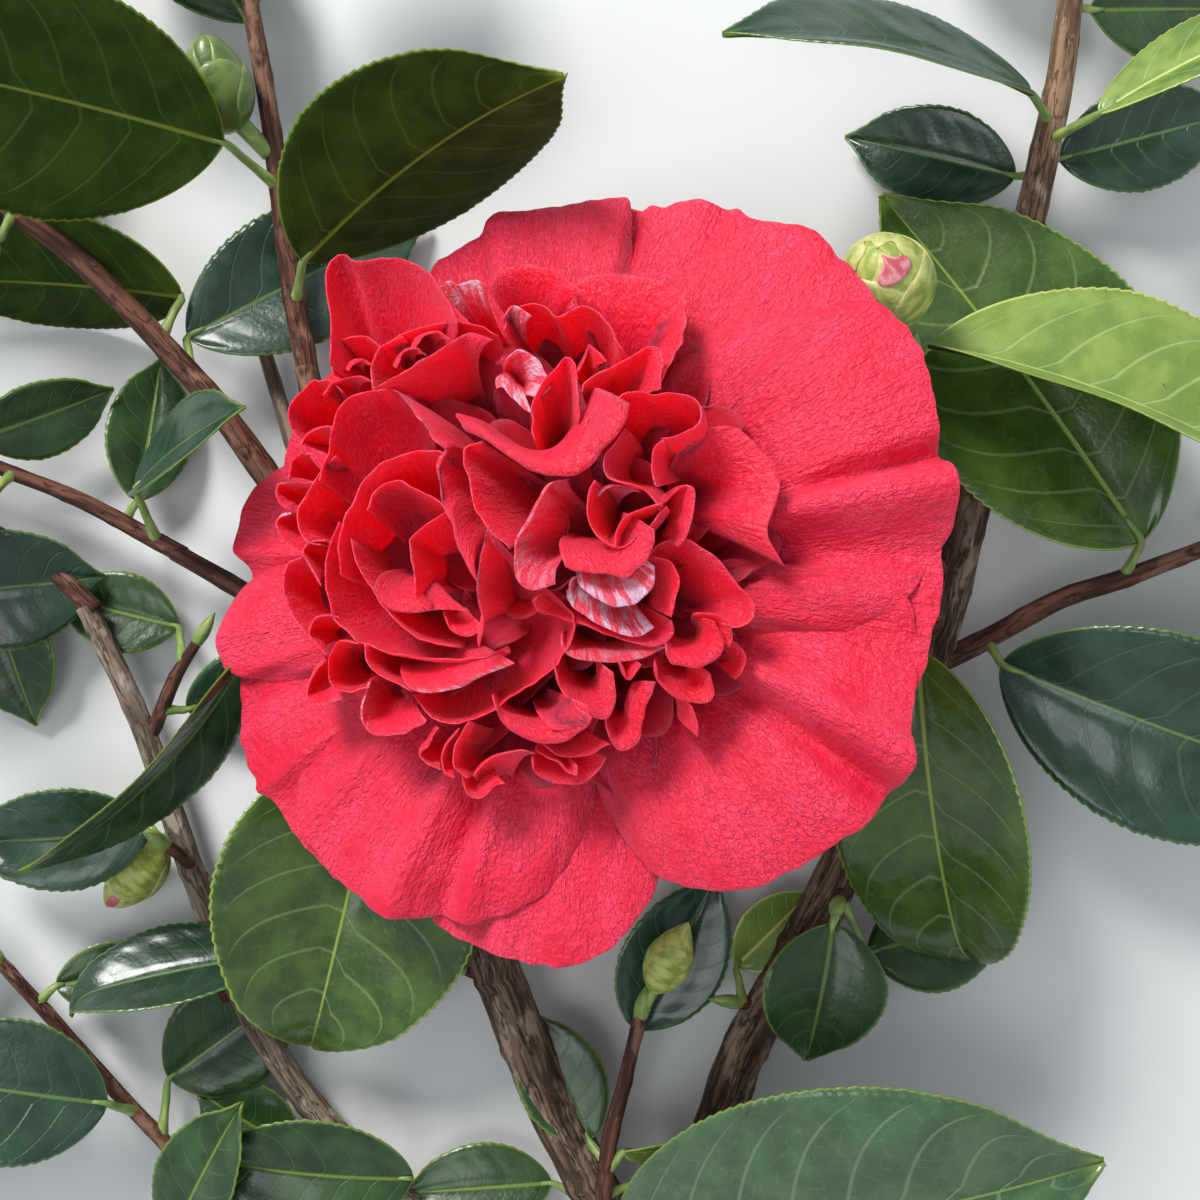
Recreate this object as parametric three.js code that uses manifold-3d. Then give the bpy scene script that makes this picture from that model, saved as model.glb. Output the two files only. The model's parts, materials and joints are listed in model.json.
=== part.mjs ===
// A cut flowering branch of a camellia, lying on its back with its one open bloom facing up.
// Millimetres. X runs to the right and Y up the branch as it lies, and Z rises from the surface it lies on.
// Three stems part from one cut foot. Boughs leave them, and each mass of leaves grows on from its stem.
import * as THREE from 'three';
import { mergeVertices } from 'three/addons/utils/BufferGeometryUtils.js';
import Module from 'manifold-3d';

const wasm = await Module();
wasm.setup();

// Driving dimensions.
const GAP = 0.3;                       // air left between pieces that touch on the real branch
const LEAF_THICKNESS = 1.0;
const PETAL_THICKNESS = 1.2;
const PETAL_ROUND = 0.24;              // how far a petal's end is rounded back at its corners
const PETIOLE_RADIUS = 1.1;
const LARGE_LEAF = 45;                 // a leaf longer than this gets finer cells
const LARGE_LEAF_CELLS = { columns: 2, rows: 6 };
const SMALL_LEAF_CELLS = { columns: 2, rows: 4 };
const GUARD_CELLS = { columns: 4, rows: 4 };
const PETALOID_CELLS = { columns: 2, rows: 3 };
const BLOOM_CENTRE = new THREE.Vector3(-4.8, 4.8, 49);
const BLOOM_AXIS = new THREE.Vector3(-0.32, 0.21, 0.92).normalize();
const BLOOM_DEPTH = 20;                // from the ring of outer petals down to the foot of the bloom
const GOLDEN_ANGLE = 137.5;
const MASS_STEM_SIDES = 5;
const BLOOM_ROOT = 4.5;                // how far from the bloom's axis its outer petals start
const STALK_PATH = [[-24.4, -44.4, 15.8], [-13, -28, 17.5], [-2, -9.6, 22]];
const STALK_RADII = [2.2, 2.4];
const CUP = { top: 7.2, bottom: 2.6, height: 6 };  // the ring of green scales under the bloom

const colours = {
  bark: 0x6b4a38,
  greyBark: 0x7d7064,
  twig: 0x5a3428,
  leaf: 0x2c5634,
  youngLeaf: 0x6f9a3c,
  bud: 0x8aa052,
  petal: 0xd8203f,
};

const radians = THREE.MathUtils.degToRad;

// A repeatable stream of numbers from 0 to 1.
function randomStream(seed) {
  let state = seed;
  return () => {
    state = (state * 1664525 + 1013904223) % 4294967296;
    return state / 4294967296;
  };
}

function solidFrom(positions, faces) {
  const geometry = new THREE.BufferGeometry();
  geometry.setAttribute('position', new THREE.Float32BufferAttribute(positions, 3));
  geometry.setIndex(faces);
  return solidFromGeometry(geometry);
}

function solidFromGeometry(geometry) {
  geometry.deleteAttribute('normal');
  geometry.deleteAttribute('uv');
  const merged = mergeVertices(geometry, 1e-4);
  return new wasm.Manifold(new wasm.Mesh({
    numProp: 3,
    vertProperties: Float32Array.from(merged.attributes.position.array),
    triVerts: Uint32Array.from(merged.index.array),
  }));
}

// Joins parts into one body. A hollow that the joining seals is filled and a loose scrap is dropped.
function fuse(parts, cutters = []) {
  let whole = wasm.Manifold.union(parts);
  cutters.forEach((cutter) => {
    whole = whole.subtract(cutter);
  });
  const bodies = whole.decompose();
  return bodies.reduce((largest, body) => (body.volume() > largest.volume() ? body : largest));
}

function meshFrom(name, solid, colour, roughness) {
  const { vertProperties, triVerts } = solid.getMesh();
  const geometry = new THREE.BufferGeometry();
  geometry.setAttribute('position', new THREE.BufferAttribute(Float32Array.from(vertProperties), 3));
  geometry.setIndex(new THREE.BufferAttribute(Uint32Array.from(triVerts), 1));
  geometry.computeVertexNormals();
  const material = new THREE.MeshStandardMaterial({ color: colour, roughness, metalness: 0 });
  const mesh = new THREE.Mesh(geometry, material);
  mesh.name = name;
  return mesh;
}

// A tapering limb along a smooth curve through its points, with flat ends.
function limb({ path, radii, sides = 7, steps = path.length }, grow = 0) {
  const curve = new THREE.CatmullRomCurve3(path.map((point) => new THREE.Vector3(...point)));
  const frames = curve.computeFrenetFrames(steps);
  const positions = [];
  const faces = [];
  for (let step = 0; step <= steps; step += 1) {
    const centre = curve.getPointAt(step / steps);
    const radius = THREE.MathUtils.lerp(radii[0], radii[1], step / steps) + grow;
    for (let side = 0; side < sides; side += 1) {
      const angle = (2 * Math.PI * side) / sides;
      const point = centre.clone()
        .addScaledVector(frames.normals[step], radius * Math.cos(angle))
        .addScaledVector(frames.binormals[step], radius * Math.sin(angle));
      positions.push(point.x, point.y, point.z);
      if (step < steps) {
        const here = step * sides + side;
        const beside = step * sides + ((side + 1) % sides);
        faces.push(here, beside, beside + sides, here, beside + sides, here + sides);
      }
    }
  }
  for (let side = 1; side < sides - 1; side += 1) {
    const last = steps * sides;
    faces.push(0, side + 1, side, last, last + side, last + side + 1);
  }
  return solidFrom(positions, faces);
}

// A thin closed shell round the surface that place(u, v) gives: u runs -1 to 1 across it, v 0 to 1 along it.
function shell(place, { columns, rows }, thickness) {
  const tiny = 1e-3;
  const positions = [];
  [0.5, -0.5].forEach((side) => {
    for (let row = 0; row <= rows; row += 1) {
      for (let column = 0; column <= columns; column += 1) {
        const u = (2 * column) / columns - 1;
        const v = row / rows;
        const across = place(u + tiny, v).sub(place(u - tiny, v));
        const along = place(u, Math.min(1, v + tiny)).sub(place(u, Math.max(0, v - tiny)));
        const normal = across.cross(along).normalize();
        const point = place(u, v).addScaledVector(normal, side * thickness);
        positions.push(point.x, point.y, point.z);
      }
    }
  });
  const wide = columns + 1;
  const back = wide * (rows + 1);
  const faces = [];
  for (let row = 0; row < rows; row += 1) {
    for (let column = 0; column < columns; column += 1) {
      const a = row * wide + column;
      const b = a + 1;
      const c = b + wide;
      const d = a + wide;
      faces.push(a, b, c, a, c, d);
      faces.push(back + a, back + c, back + b, back + a, back + d, back + c);
    }
  }
  const rim = [
    ...Array.from({ length: columns }, (_, column) => column),
    ...Array.from({ length: rows }, (_, row) => row * wide + columns),
    ...Array.from({ length: columns }, (_, column) => rows * wide + columns - column),
    ...Array.from({ length: rows }, (_, row) => (rows - row) * wide),
  ];
  rim.forEach((i, index) => {
    const j = rim[(index + 1) % rim.length];
    faces.push(back + i, back + j, j, back + i, j, i);
  });
  return solidFrom(positions, faces);
}

// Half width of a leaf blade along its length: widest before the middle, drawn out to a point.
function leafOutline(v) {
  const belly = Math.sin(Math.PI * Math.min(0.999, v) ** 0.86) ** 0.72;
  const point = 1 - 0.4 * THREE.MathUtils.smoothstep(v, 0.78, 1);
  return Math.max(belly * point, 0.03);
}

// Half width of a petal along its length: a narrow claw, widest two thirds up, and a round end.
function petalOutline(v) {
  const widest = 0.68;
  const claw = 0.28;
  if (v < widest) return claw + (1 - claw) * Math.sin((v / widest) * (Math.PI / 2));
  return Math.cos(((v - widest) / (1 - widest)) * 0.78);
}

// A point of a blade's middle surface: y along it, x across it, z out of its upper face.
// It leaves its root at the angle start and turns by turn degrees on its way to the tip, and its
// section is an arc of cup degrees a side. fold lifts both margins straight off the midrib.
function bladePoint(shape, u, v) {
  const { length, width, start, turn, cup = 0, fold = 0, wave = 0, phase = 0, round = 0, outline } = shape;
  const along = v * (1 - round * u * u * v * v);
  const bend = radians(turn) || 1e-6;
  const first = radians(start);
  const here = first + bend * along;
  const y = (length * (Math.sin(here) - Math.sin(first))) / bend;
  const z = (length * (Math.cos(first) - Math.cos(here))) / bend;
  const half = (width / 2) * outline(v);
  const arc = radians(cup) || 1e-6;
  const x = (half * Math.sin(arc * u)) / arc;
  const lift = (half * (1 - Math.cos(arc * u))) / arc + half * Math.abs(u) * Math.tan(radians(fold))
    + wave * Math.sin(Math.PI * 1.5 * u + phase) * v * v;
  return new THREE.Vector3(x, y - lift * Math.sin(here), z + lift * Math.cos(here));
}

function placedBlade(shape, matrix, cells, thickness) {
  return shell((u, v) => bladePoint(shape, u, v).applyMatrix4(matrix), cells, thickness);
}

// A frame at a point: its y axis has the given heading and rise, and its x axis is level before the roll.
function headingFrame(point, heading, rise, roll) {
  const turn = radians(heading);
  const lift = radians(rise);
  const level = Math.cos(lift);
  const y = new THREE.Vector3(level * Math.cos(turn), level * Math.sin(turn), Math.sin(lift));
  const x = new THREE.Vector3(Math.sin(turn), -Math.cos(turn), 0);
  const z = new THREE.Vector3().crossVectors(x, y);
  return new THREE.Matrix4().makeBasis(x, y, z).setPosition(point)
    .multiply(new THREE.Matrix4().makeRotationY(radians(roll)));
}

// A leaf on its stalk: at is how far up the stem it grows, reach is where its blade starts from there.
function leaf(curve, spec) {
  const { at, reach, heading, rise, roll, length, width, bend = -20, fold = 12, cup = 0, wave = 0 } = spec;
  const root = curve.getPointAt(at);
  const foot = root.clone().add(new THREE.Vector3(...reach));
  const matrix = headingFrame(foot, heading, rise, roll);
  const shape = { length, width, start: -bend / 2, turn: bend, cup, fold, wave, outline: leafOutline };
  const inside = bladePoint(shape, 0, 0.12).applyMatrix4(matrix);
  const stalk = limb({ path: [root, foot, inside].map((point) => point.toArray()),
    radii: [PETIOLE_RADIUS, LEAF_THICKNESS * 0.4], sides: 3, steps: 2 });
  const cells = length > LARGE_LEAF ? LARGE_LEAF_CELLS : SMALL_LEAF_CELLS;
  return [stalk, placedBlade(shape, matrix, cells, LEAF_THICKNESS)];
}

// The limbs. Each one that leaves another starts on that one's middle line and is cut 0.3 mm clear of it.
const limbs = {
  main_stem: {
    path: [[11.6, -127.5, 4.4], [6.5, -115, 6], [0, -102, 8], [-9.3, -83, 10], [-16.8, -63.7, 13],
      [-24.9, -43.2, 16], [-32.2, -26.4, 18], [-36, -13, 19]],
    radii: [4.3, 3.1], sides: 9, colour: colours.bark,
  },
  right_stem: {
    path: [[8.5, -120, 5.2], [14.5, -108, 6.5], [19.6, -90.2, 8], [24.6, -76.3, 9], [33.7, -59, 11],
      [41.1, -43.6, 13], [50.1, -23.4, 14], [58.3, 1.7, 15], [64.2, 28.3, 15], [68.6, 49.9, 15],
      [71.6, 63, 15]],
    radii: [3.9, 2.9], sides: 9, colour: colours.bark, clearOf: ['main_stem'],
  },
  left_stem: {
    path: [[7.6, -117.5, 5.6], [-8, -114.5, 5], [-25.7, -108, 5], [-46.2, -90.7, 5], [-59, -71.9, 6],
      [-68.5, -49.6, 6.5], [-78.3, -20.4, 8], [-87.2, -1, 9]],
    radii: [2.5, 1.8], sides: 7, colour: colours.greyBark, clearOf: ['main_stem'],
  },
  bough_upper_left: {
    path: [[-33.5, -21.5, 18.4], [-39.5, -5.5, 19.5], [-46.5, 8, 20], [-54.3, 19.8, 19], [-63.4, 32.2, 18]],
    radii: [2.5, 2.1], sides: 7, colour: colours.twig, clearOf: ['main_stem'],
  },
  bough_top: {
    path: [[-36.4, -12.4, 19.2], [-39, 3, 21], [-44.5, 21.3, 19.5], [-48.6, 38.5, 17.6]],
    radii: [2.3, 1.9], sides: 7, colour: colours.twig, clearOf: ['main_stem', 'bough_upper_left'],
  },
  twig_left: {
    path: [[-35.6, -14, 18.8], [-44, -8, 15.6], [-60.2, 1.7, 13.2], [-71.5, 8.2, 12.6]],
    radii: [1.8, 1.5], sides: 6, colour: colours.twig,
    clearOf: ['main_stem', 'bough_upper_left', 'bough_top'],
  },
  bare_spur: {
    path: [[-44, 3.5, 19.6], [-50.5, 22, 10], [-55, 35, 7], [-58.8, 47.5, 6]],
    radii: [1.5, 1.2], sides: 6, colour: colours.greyBark, clearOf: ['bough_upper_left', 'bough_top'],
  },
};

// The masses of leaves: each has one stem, which starts clear of the limb that carries it.
const masses = {
  foliage_top_left: {
    stem: { path: [[-48.9, 40.6, 17.4], [-51.4, 54.7, 17], [-54.3, 79, 19], [-57.3, 98.2, 21],
      [-58.3, 106, 22]],
      radii: [1.9, 1.5] },
    clearOf: ['bough_top'],
    leaves: [
      { at: 0.13, reach: [2.4, 6, 7], heading: 26, rise: 36, roll: -125, length: 60, width: 36, bend: -34 },
      { at: 0.42, reach: [-7.5, 5.5, 9], heading: 167, rise: 22, roll: 142,
        length: 62, width: 42, bend: -16 },
      { at: 0.93, reach: [-4, 3, 3], heading: 151, rise: 10, roll: 20, length: 36, width: 20, bend: -30 },
      { at: 0.98, reach: [3, 3, 3], heading: 40, rise: 4, roll: -30, length: 34, width: 19, bend: -30 },
      { at: 0.8, reach: [-2, 3, -4], heading: 125, rise: -18, roll: 10, length: 40, width: 22, bend: -18 },
    ],
  },
  foliage_upper_left: {
    stem: { path: [[-64.6, 33.8, 18], [-77.6, 47.9, 18], [-88.9, 58.5, 19], [-98.5, 64.9, 20],
      [-105.7, 69, 21.6]],
      radii: [2.1, 1.6] },
    clearOf: ['bough_upper_left'],
    leaves: [
      { at: 0.08, reach: [-1.5, 7, -4.6], heading: 29, rise: -14, roll: -4,
        length: 46, width: 24, bend: -16 },
      { at: 0.22, reach: [3, 8, -3], heading: 176, rise: -4, roll: 128, length: 47, width: 27, bend: -14 },
      { at: 0.8, reach: [-1, -5, 4], heading: -160, rise: 22, roll: -24, length: 38, width: 21, bend: -26 },
      { at: 0.98, reach: [-3, 4, 3], heading: 149, rise: 20, roll: 16, length: 32, width: 18, bend: -30 },
      { at: 0.86, reach: [-2, 5, -3], heading: 96, rise: -22, roll: -10, length: 34, width: 20, bend: -16 },
    ],
  },
  foliage_left: {
    stem: { path: [[-73, 9.1, 12.5], [-87.4, 16.8, 12], [-100.9, 22.2, 12], [-109, 25.4, 12.6]],
      radii: [1.5, 1.2] },
    clearOf: ['twig_left'],
    leaves: [
      { at: 0.04, reach: [-2, 8.5, 7], heading: 28, rise: 40, roll: -50, length: 32, width: 17, bend: -20 },
      { at: 0.2, reach: [1, 4, -5], heading: 84, rise: -14, roll: 20, length: 26, width: 15, bend: -16 },
      { at: 0.72, reach: [-2, -4, 5], heading: -152, rise: 20, roll: 30, length: 34, width: 19, bend: -26 },
      { at: 0.97, reach: [-4, 1, 1], heading: 165, rise: -18, roll: -10, length: 32, width: 18, bend: -16 },
      { at: 0.84, reach: [-1, 4, 2], heading: 22, rise: -12, roll: 34, length: 24, width: 14, bend: -14 },
    ],
  },
  foliage_left_low: {
    stem: { path: [[-88.2, 0.6, 9], [-95, 7, 9], [-101.8, 11, 9], [-108, 14.4, 9]], radii: [1.7, 1.3] },
    clearOf: ['left_stem'],
    leaves: [
      { at: 0.8, reach: [-9, -11, 3], heading: 6, rise: -9, roll: 16, length: 29, width: 21, bend: -16 },
      { at: 0.98, reach: [-3, 0, 0], heading: -152, rise: -8, roll: -20, length: 33, width: 19, bend: -20 },
      { at: 0.6, reach: [-5, -7, -1.6], heading: -74, rise: -11, roll: 8, length: 26, width: 17, bend: -8 },
    ],
  },
  foliage_under_bloom: {
    stem: { path: [[-34.2, -19, 18.6], [-41, -17, 21.5], [-48, -12.5, 22]], radii: [1.5, 1.2] },
    clearOf: ['main_stem', 'bough_upper_left', 'bough_top', 'twig_left'],
    leaves: [
      { at: 0.3, reach: [3, -5, -1], heading: -104, rise: -7, roll: -6,
        length: 56, width: 44, bend: -22, cup: 14 },
      { at: 0.98, reach: [-9, 5, 2.5], heading: -136, rise: -3, roll: -72, length: 54, width: 22, bend: -40 },
    ],
  },
  foliage_stem_side: {
    stem: { path: [[-17.2, -62.6, 12.9], [-20.5, -63, 11.5], [-23.5, -62, 10.5]], radii: [1.2, 1.1] },
    clearOf: ['main_stem'],
    leaves: [
      { at: 0.95, reach: [-3, 3, -1], heading: 128, rise: -4, roll: 4, length: 38, width: 20, bend: -10 },
    ],
  },
  foliage_left_middle: {
    stem: { path: [[-76, -22, 7.9], [-71.6, -12.6, 9.6], [-67.4, -6, 10.6]], radii: [1.3, 1] },
    clearOf: ['left_stem'],
    leaves: [
      { at: 0.7, reach: [-2, 6, -5.2], heading: 166, rise: -3, roll: 4, length: 22, width: 14, bend: -8 },
      { at: 0.2, reach: [4, 0, -1.5], heading: 22, rise: -2, roll: 10, length: 26, width: 14, bend: -12 },
    ],
  },
  foliage_low_left: {
    stem: { path: [[-69.6, -45.8, 6.7], [-71, -43, 10.6], [-73.6, -40.6, 12.8]], radii: [1.3, 1.1] },
    clearOf: ['left_stem'],
    leaves: [
      { at: 0.96, reach: [-2, 2.5, -0.4], heading: -176, rise: 0, roll: -12,
        length: 32, width: 18, bend: -22 },
    ],
  },
  foliage_low_middle: {
    stem: { path: [[-61.6, -66.4, 6.1], [-57, -64, 7.6], [-53.6, -61, 9.4]], radii: [1.3, 1.1] },
    clearOf: ['left_stem'],
    leaves: [
      { at: 0.95, reach: [-1, 1.6, 3.6], heading: -168, rise: 2, roll: 36, length: 38, width: 20, bend: -22 },
    ],
  },
  foliage_foot_left: {
    stem: { path: [[-38, -98, 5], [-42.6, -97.5, 5], [-47, -97.6, 6]], radii: [1.4, 1.1] },
    clearOf: ['left_stem'],
    leaves: [
      { at: 0.5, reach: [11, 0, 6], heading: 174, rise: 2, roll: -12, length: 36, width: 22, bend: -24 },
      { at: 0.9, reach: [-6, 3, -1], heading: 150, rise: -2, roll: 8, length: 20, width: 14, bend: -16 },
    ],
  },
  foliage_bottom_left: {
    stem: { path: [[-28, -107, 5], [-46, -108, 4.6], [-64.2, -102.7, 5], [-76.8, -90.4, 6], [-91.9, -73.2, 7],
      [-103, -60, 9]], radii: [1.6, 1.2] },
    clearOf: ['left_stem'],
    leaves: [
      { at: 0.62, reach: [-3, 3, 7], heading: 169, rise: 10, roll: 10, length: 36, width: 24, bend: -24 },
      { at: 0.55, reach: [1, 10, -1.4], heading: 36, rise: -4, roll: 3, length: 27, width: 20, bend: -10 },
      { at: 0.4, reach: [-8, -7, 3], heading: 62, rise: 20, roll: -24, length: 32, width: 16, bend: -16 },
      { at: 0.98, reach: [-4, 3, 2], heading: 150, rise: 12, roll: 20, length: 30, width: 17, bend: -24 },
      { at: 0.88, reach: [3, 3, 0], heading: 8, rise: -12, roll: -6, length: 21, width: 12, bend: -12 },
      { at: 0.78, reach: [-5, -2, -2], heading: -140, rise: -4, roll: 22, length: 34, width: 20, bend: -16 },
    ],
  },
  foliage_bottom: {
    stem: { path: [[6, -114, 6.2], [1, -104, 12], [1.4, -92, 14], [4.2, -80, 14.6], [7, -68, 16]],
      radii: [1.6, 1.2] },
    clearOf: ['main_stem', 'right_stem'],
    leaves: [
      { at: 0.46, reach: [-3, 3, -2], heading: 116, rise: -6, roll: 10, length: 24, width: 15, bend: -12 },
      { at: 0.42, reach: [3, 4, 1], heading: 18, rise: 2, roll: 56, length: 24, width: 12, bend: -40 },
      { at: 0.34, reach: [6, 2, -3], heading: 4, rise: -6, roll: 10, length: 17, width: 10, bend: -12 },
      { at: 0.3, reach: [-9, 2, -7], heading: -176, rise: 0, roll: 16, length: 26, width: 15, bend: -12 },
      { at: 0.8, reach: [1, 5, -5.5], heading: 62, rise: 2, roll: 6, length: 30, width: 18, bend: -14 },
    ],
  },
  foliage_bottom_right: {
    stem: { path: [[9.4, -122, 4.8], [4.6, -118, 9.6], [-1, -112, 13]], radii: [1.6, 1.4] },
    clearOf: ['main_stem', 'right_stem'],
    leaves: [
      { at: 0.9, reach: [3, 6, 2], heading: 13, rise: 11, roll: 10, length: 82, width: 52, bend: -34 },
    ],
  },
  foliage_foot_right: {
    stem: { path: [[15.2, -106.6, 6.7], [24, -108, 6], [33, -110, 5]], radii: [1.5, 1.2] },
    clearOf: ['right_stem'],
    leaves: [
      { at: 0.9, reach: [4, -1, -1], heading: -12, rise: -3, roll: 10, length: 46, width: 26, bend: -12 },
    ],
  },
  foliage_right_low: {
    stem: { path: [[38.4, -49.6, 12], [40, -49, 17], [39, -50, 20.6]], radii: [1.4, 1.2] },
    clearOf: ['right_stem'],
    leaves: [
      { at: 0.97, reach: [-1, -3, 1], heading: -100, rise: -8, roll: -8, length: 24, width: 21, bend: -26 },
      { at: 0.4, reach: [6, -11, -8], heading: 14, rise: -5, roll: 4, length: 26, width: 19, bend: -10 },
    ],
  },
  foliage_low_right: {
    stem: { path: [[29.4, -66.4, 10], [25.4, -68, 11.4], [22.6, -67.6, 12]], radii: [1.2, 1] },
    clearOf: ['right_stem'],
    leaves: [
      { at: 0.8, reach: [-1, 6, -2], heading: 44, rise: -6, roll: 6, length: 18, width: 12, bend: -12 },
    ],
  },
  foliage_under_right: {
    stem: { path: [[56.4, -4.6, 14.8], [52, -4, 24], [48.5, -6.8, 30]], radii: [1.5, 1.2] },
    clearOf: ['right_stem'],
    leaves: [
      { at: 0.92, reach: [1.5, -2, 2], heading: -78, rise: -20, roll: 30, length: 64, width: 33, bend: -36 },
    ],
  },
  foliage_right: {
    stem: { path: [[54, -11.5, 14.6], [64.4, -6.7, 13.6], [76.4, 0, 15], [86.7, 3.6, 17], [98.5, 8.2, 19],
      [107, 12, 21]], radii: [1.9, 1.4] },
    clearOf: ['right_stem'],
    leaves: [
      { at: 0.62, reach: [2, 6, 3.6], heading: 126, rise: -4, roll: 6, length: 72, width: 43, bend: -22 },
      { at: 0.2, reach: [2, -4, 3], heading: -20, rise: 4, roll: 16, length: 66, width: 34, bend: -28 },
      { at: 0.98, reach: [3, -2, -1], heading: -34, rise: -32, roll: -8, length: 34, width: 19, bend: -16 },
      { at: 0.9, reach: [0, 5, 1], heading: 48, rise: 10, roll: 14, length: 32, width: 18, bend: -22 },
    ],
  },
  foliage_upper_right: {
    stem: { path: [[58.6, 3, 15], [49.5, 13, 22], [46.6, 26, 28], [49, 38.5, 31.5]], radii: [1.8, 1.5] },
    clearOf: ['right_stem'],
    leaves: [
      { at: 0.97, reach: [3.4, 3, 0], heading: -25, rise: 12, roll: -50, length: 72, width: 36, bend: -30 },
    ],
  },
  foliage_top_right: {
    stem: { path: [[72.1, 65.2, 14.6], [74.2, 75, 15], [76.2, 86.1, 17], [77.7, 100.5, 19], [79.4, 112, 20]],
      radii: [2.7, 1.9] },
    clearOf: ['right_stem'],
    leaves: [
      { at: 0.3, reach: [-5, 3, 8], heading: 174, rise: 16, roll: 56, length: 54, width: 28, bend: -30 },
      { at: 0.24, reach: [6, 2, 11], heading: 22, rise: 16, roll: -50, length: 44, width: 26, bend: -22 },
      { at: 0.16, reach: [4, 2, -5], heading: 16, rise: -8, roll: 10, length: 32, width: 18, bend: -14 },
      { at: 0.12, reach: [-3, 1, -5], heading: 164, rise: -12, roll: -10, length: 30, width: 17, bend: -14 },
      { at: 0.97, reach: [1, 4, 1], heading: 60, rise: -4, roll: 14, length: 34, width: 19, bend: -26 },
      { at: 0.9, reach: [-4, 3, 0], heading: 136, rise: -12, roll: -14, length: 34, width: 19, bend: -22 },
      { at: 0.7, reach: [4, 0, -2], heading: 8, rise: -25, roll: 10, length: 34, width: 20, bend: -14 },
    ],
  },
};

// Buds: foot is where the stalk leaves the middle line of its stem, tip is the bud's point.
const buds = {
  bud_top_left: { stem: 'foliage_top_left', foot: [-54, 76, 18.7], tip: [-64, 90.5, 27],
    radius: 5.6, length: 16 },
  bud_right: { stem: 'foliage_upper_right', foot: [48, 35.4, 30.6], tip: [41, 54.5, 45],
    radius: 7.2, length: 16 },
  bud_low_left: { stem: 'left_stem', foot: [-72, -38.8, 7], tip: [-84.5, -52.5, 6], radius: 4.7, length: 15 },
  bud_bottom: { stem: 'foliage_bottom', foot: [6.8, -69, 15.9], tip: [12.6, -54, 20],
    radius: 3.8, length: 14 },
};

function stemOf(name) {
  return limbs[name] ?? masses[name].stem;
}

function bud({ stem, foot, tip, radius, length }) {
  const rings = 5;
  const end = new THREE.Vector3(...tip);
  const direction = end.clone().sub(new THREE.Vector3(...foot)).normalize();
  const profile = [];
  for (let ring = 0; ring <= rings; ring += 1) {
    const swell = Math.sin(Math.PI * (ring / rings) ** 0.8) ** 0.8;
    const onAxis = ring === 0 || ring === rings;
    profile.push(new THREE.Vector2(onAxis ? 0 : radius * swell, length * (ring / rings - 1)));
  }
  const body = new THREE.LatheGeometry(profile, 8);
  body.applyQuaternion(new THREE.Quaternion().setFromUnitVectors(new THREE.Vector3(0, 1, 0), direction));
  body.translate(end.x, end.y, end.z);
  const inside = end.clone().addScaledVector(direction, -length * 0.7).toArray();
  const stalk = limb({ path: [foot, inside], radii: [radius * 0.25, radius * 0.28], sides: 5, steps: 1 });
  return fuse([solidFromGeometry(body), stalk], [limb({ sides: MASS_STEM_SIDES, ...stemOf(stem) }, GAP)]);
}

// The bloom's own frame, from the middle of its outer ring: x to the right, y up the branch, z its axis.
function bloomFrame() {
  const x = new THREE.Vector3(1, 0, 0).addScaledVector(BLOOM_AXIS, -BLOOM_AXIS.x).normalize();
  const y = new THREE.Vector3().crossVectors(BLOOM_AXIS, x);
  return new THREE.Matrix4().makeBasis(x, y, BLOOM_AXIS).setPosition(BLOOM_CENTRE);
}

// A petal rooted at a point of the bloom, growing out at the given angle round the axis.
function petal({ at, angle, roll = 0, shape }, cells, thickness) {
  const matrix = bloomFrame()
    .multiply(new THREE.Matrix4().makeTranslation(...at))
    .multiply(new THREE.Matrix4().makeRotationZ(radians(angle - 90)))
    .multiply(new THREE.Matrix4().makeRotationY(radians(roll)));
  return placedBlade({ outline: petalOutline, ...shape }, matrix, cells, thickness);
}

// The ring of broad outer petals: angle round the axis, length, width, and how high each lies in the ring.
const guards = [
  { angle: 17, length: 63, width: 62, height: 1.6, turn: -78 },
  { angle: 59, length: 63.5, width: 54, height: -0.2, turn: -74 },
  { angle: 97, length: 61.5, width: 54, height: 0.8, turn: -74 },
  { angle: 138, length: 60, width: 54, height: -0.8, turn: -74 },
  { angle: 168, length: 60, width: 42, height: 0.6, turn: -76 },
  { angle: 192, length: 61, width: 44, height: -0.6, turn: -76 },
  { angle: 212, length: 61, width: 46, height: 0.4, turn: -76 },
  { angle: 239, length: 62, width: 50, height: 1.6, turn: -78 },
  { angle: 268, length: 61, width: 52, height: -1, turn: -74 },
  { angle: 318, length: 61.5, width: 66, height: 1.2, turn: -78 },
  { angle: 348, length: 55, width: 45, height: -1, turn: -74 },
];

function guardPetal({ angle, length, width, height, turn }) {
  const x = BLOOM_ROOT * Math.cos(radians(angle));
  const y = BLOOM_ROOT * Math.sin(radians(angle));
  const at = [x, y, -BLOOM_DEPTH + PETAL_THICKNESS + height * 0.4];
  const shape = { length, width, start: 52 + height * 2, turn, cup: 12, round: PETAL_ROUND };
  return petal({ at, angle, shape }, GUARD_CELLS, PETAL_THICKNESS);
}

// The full centre is a cluster of small roses on a dome: the middle of each, its spread and its petals.
const rosettes = [
  { middle: [-12.9, 0], spread: 14, petals: 6, length: 22, seed: 303 },
  { middle: [0.5, 23], spread: 9, petals: 3, length: 19, seed: 305 },
  { middle: [20.5, 7], spread: 9, petals: 3, length: 19, seed: 308 },
  { middle: [14.7, -10], spread: 8, petals: 3, length: 18, seed: 311 },
  { middle: [-0.6, -25], spread: 8, petals: 3, length: 17, seed: 314 },
  { middle: [-21, 26], spread: 8, petals: 3, length: 17, seed: 317 },
];
const DOME = { middle: [-4, 4], radius: 27, height: 18, foot: -15 };

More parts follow.
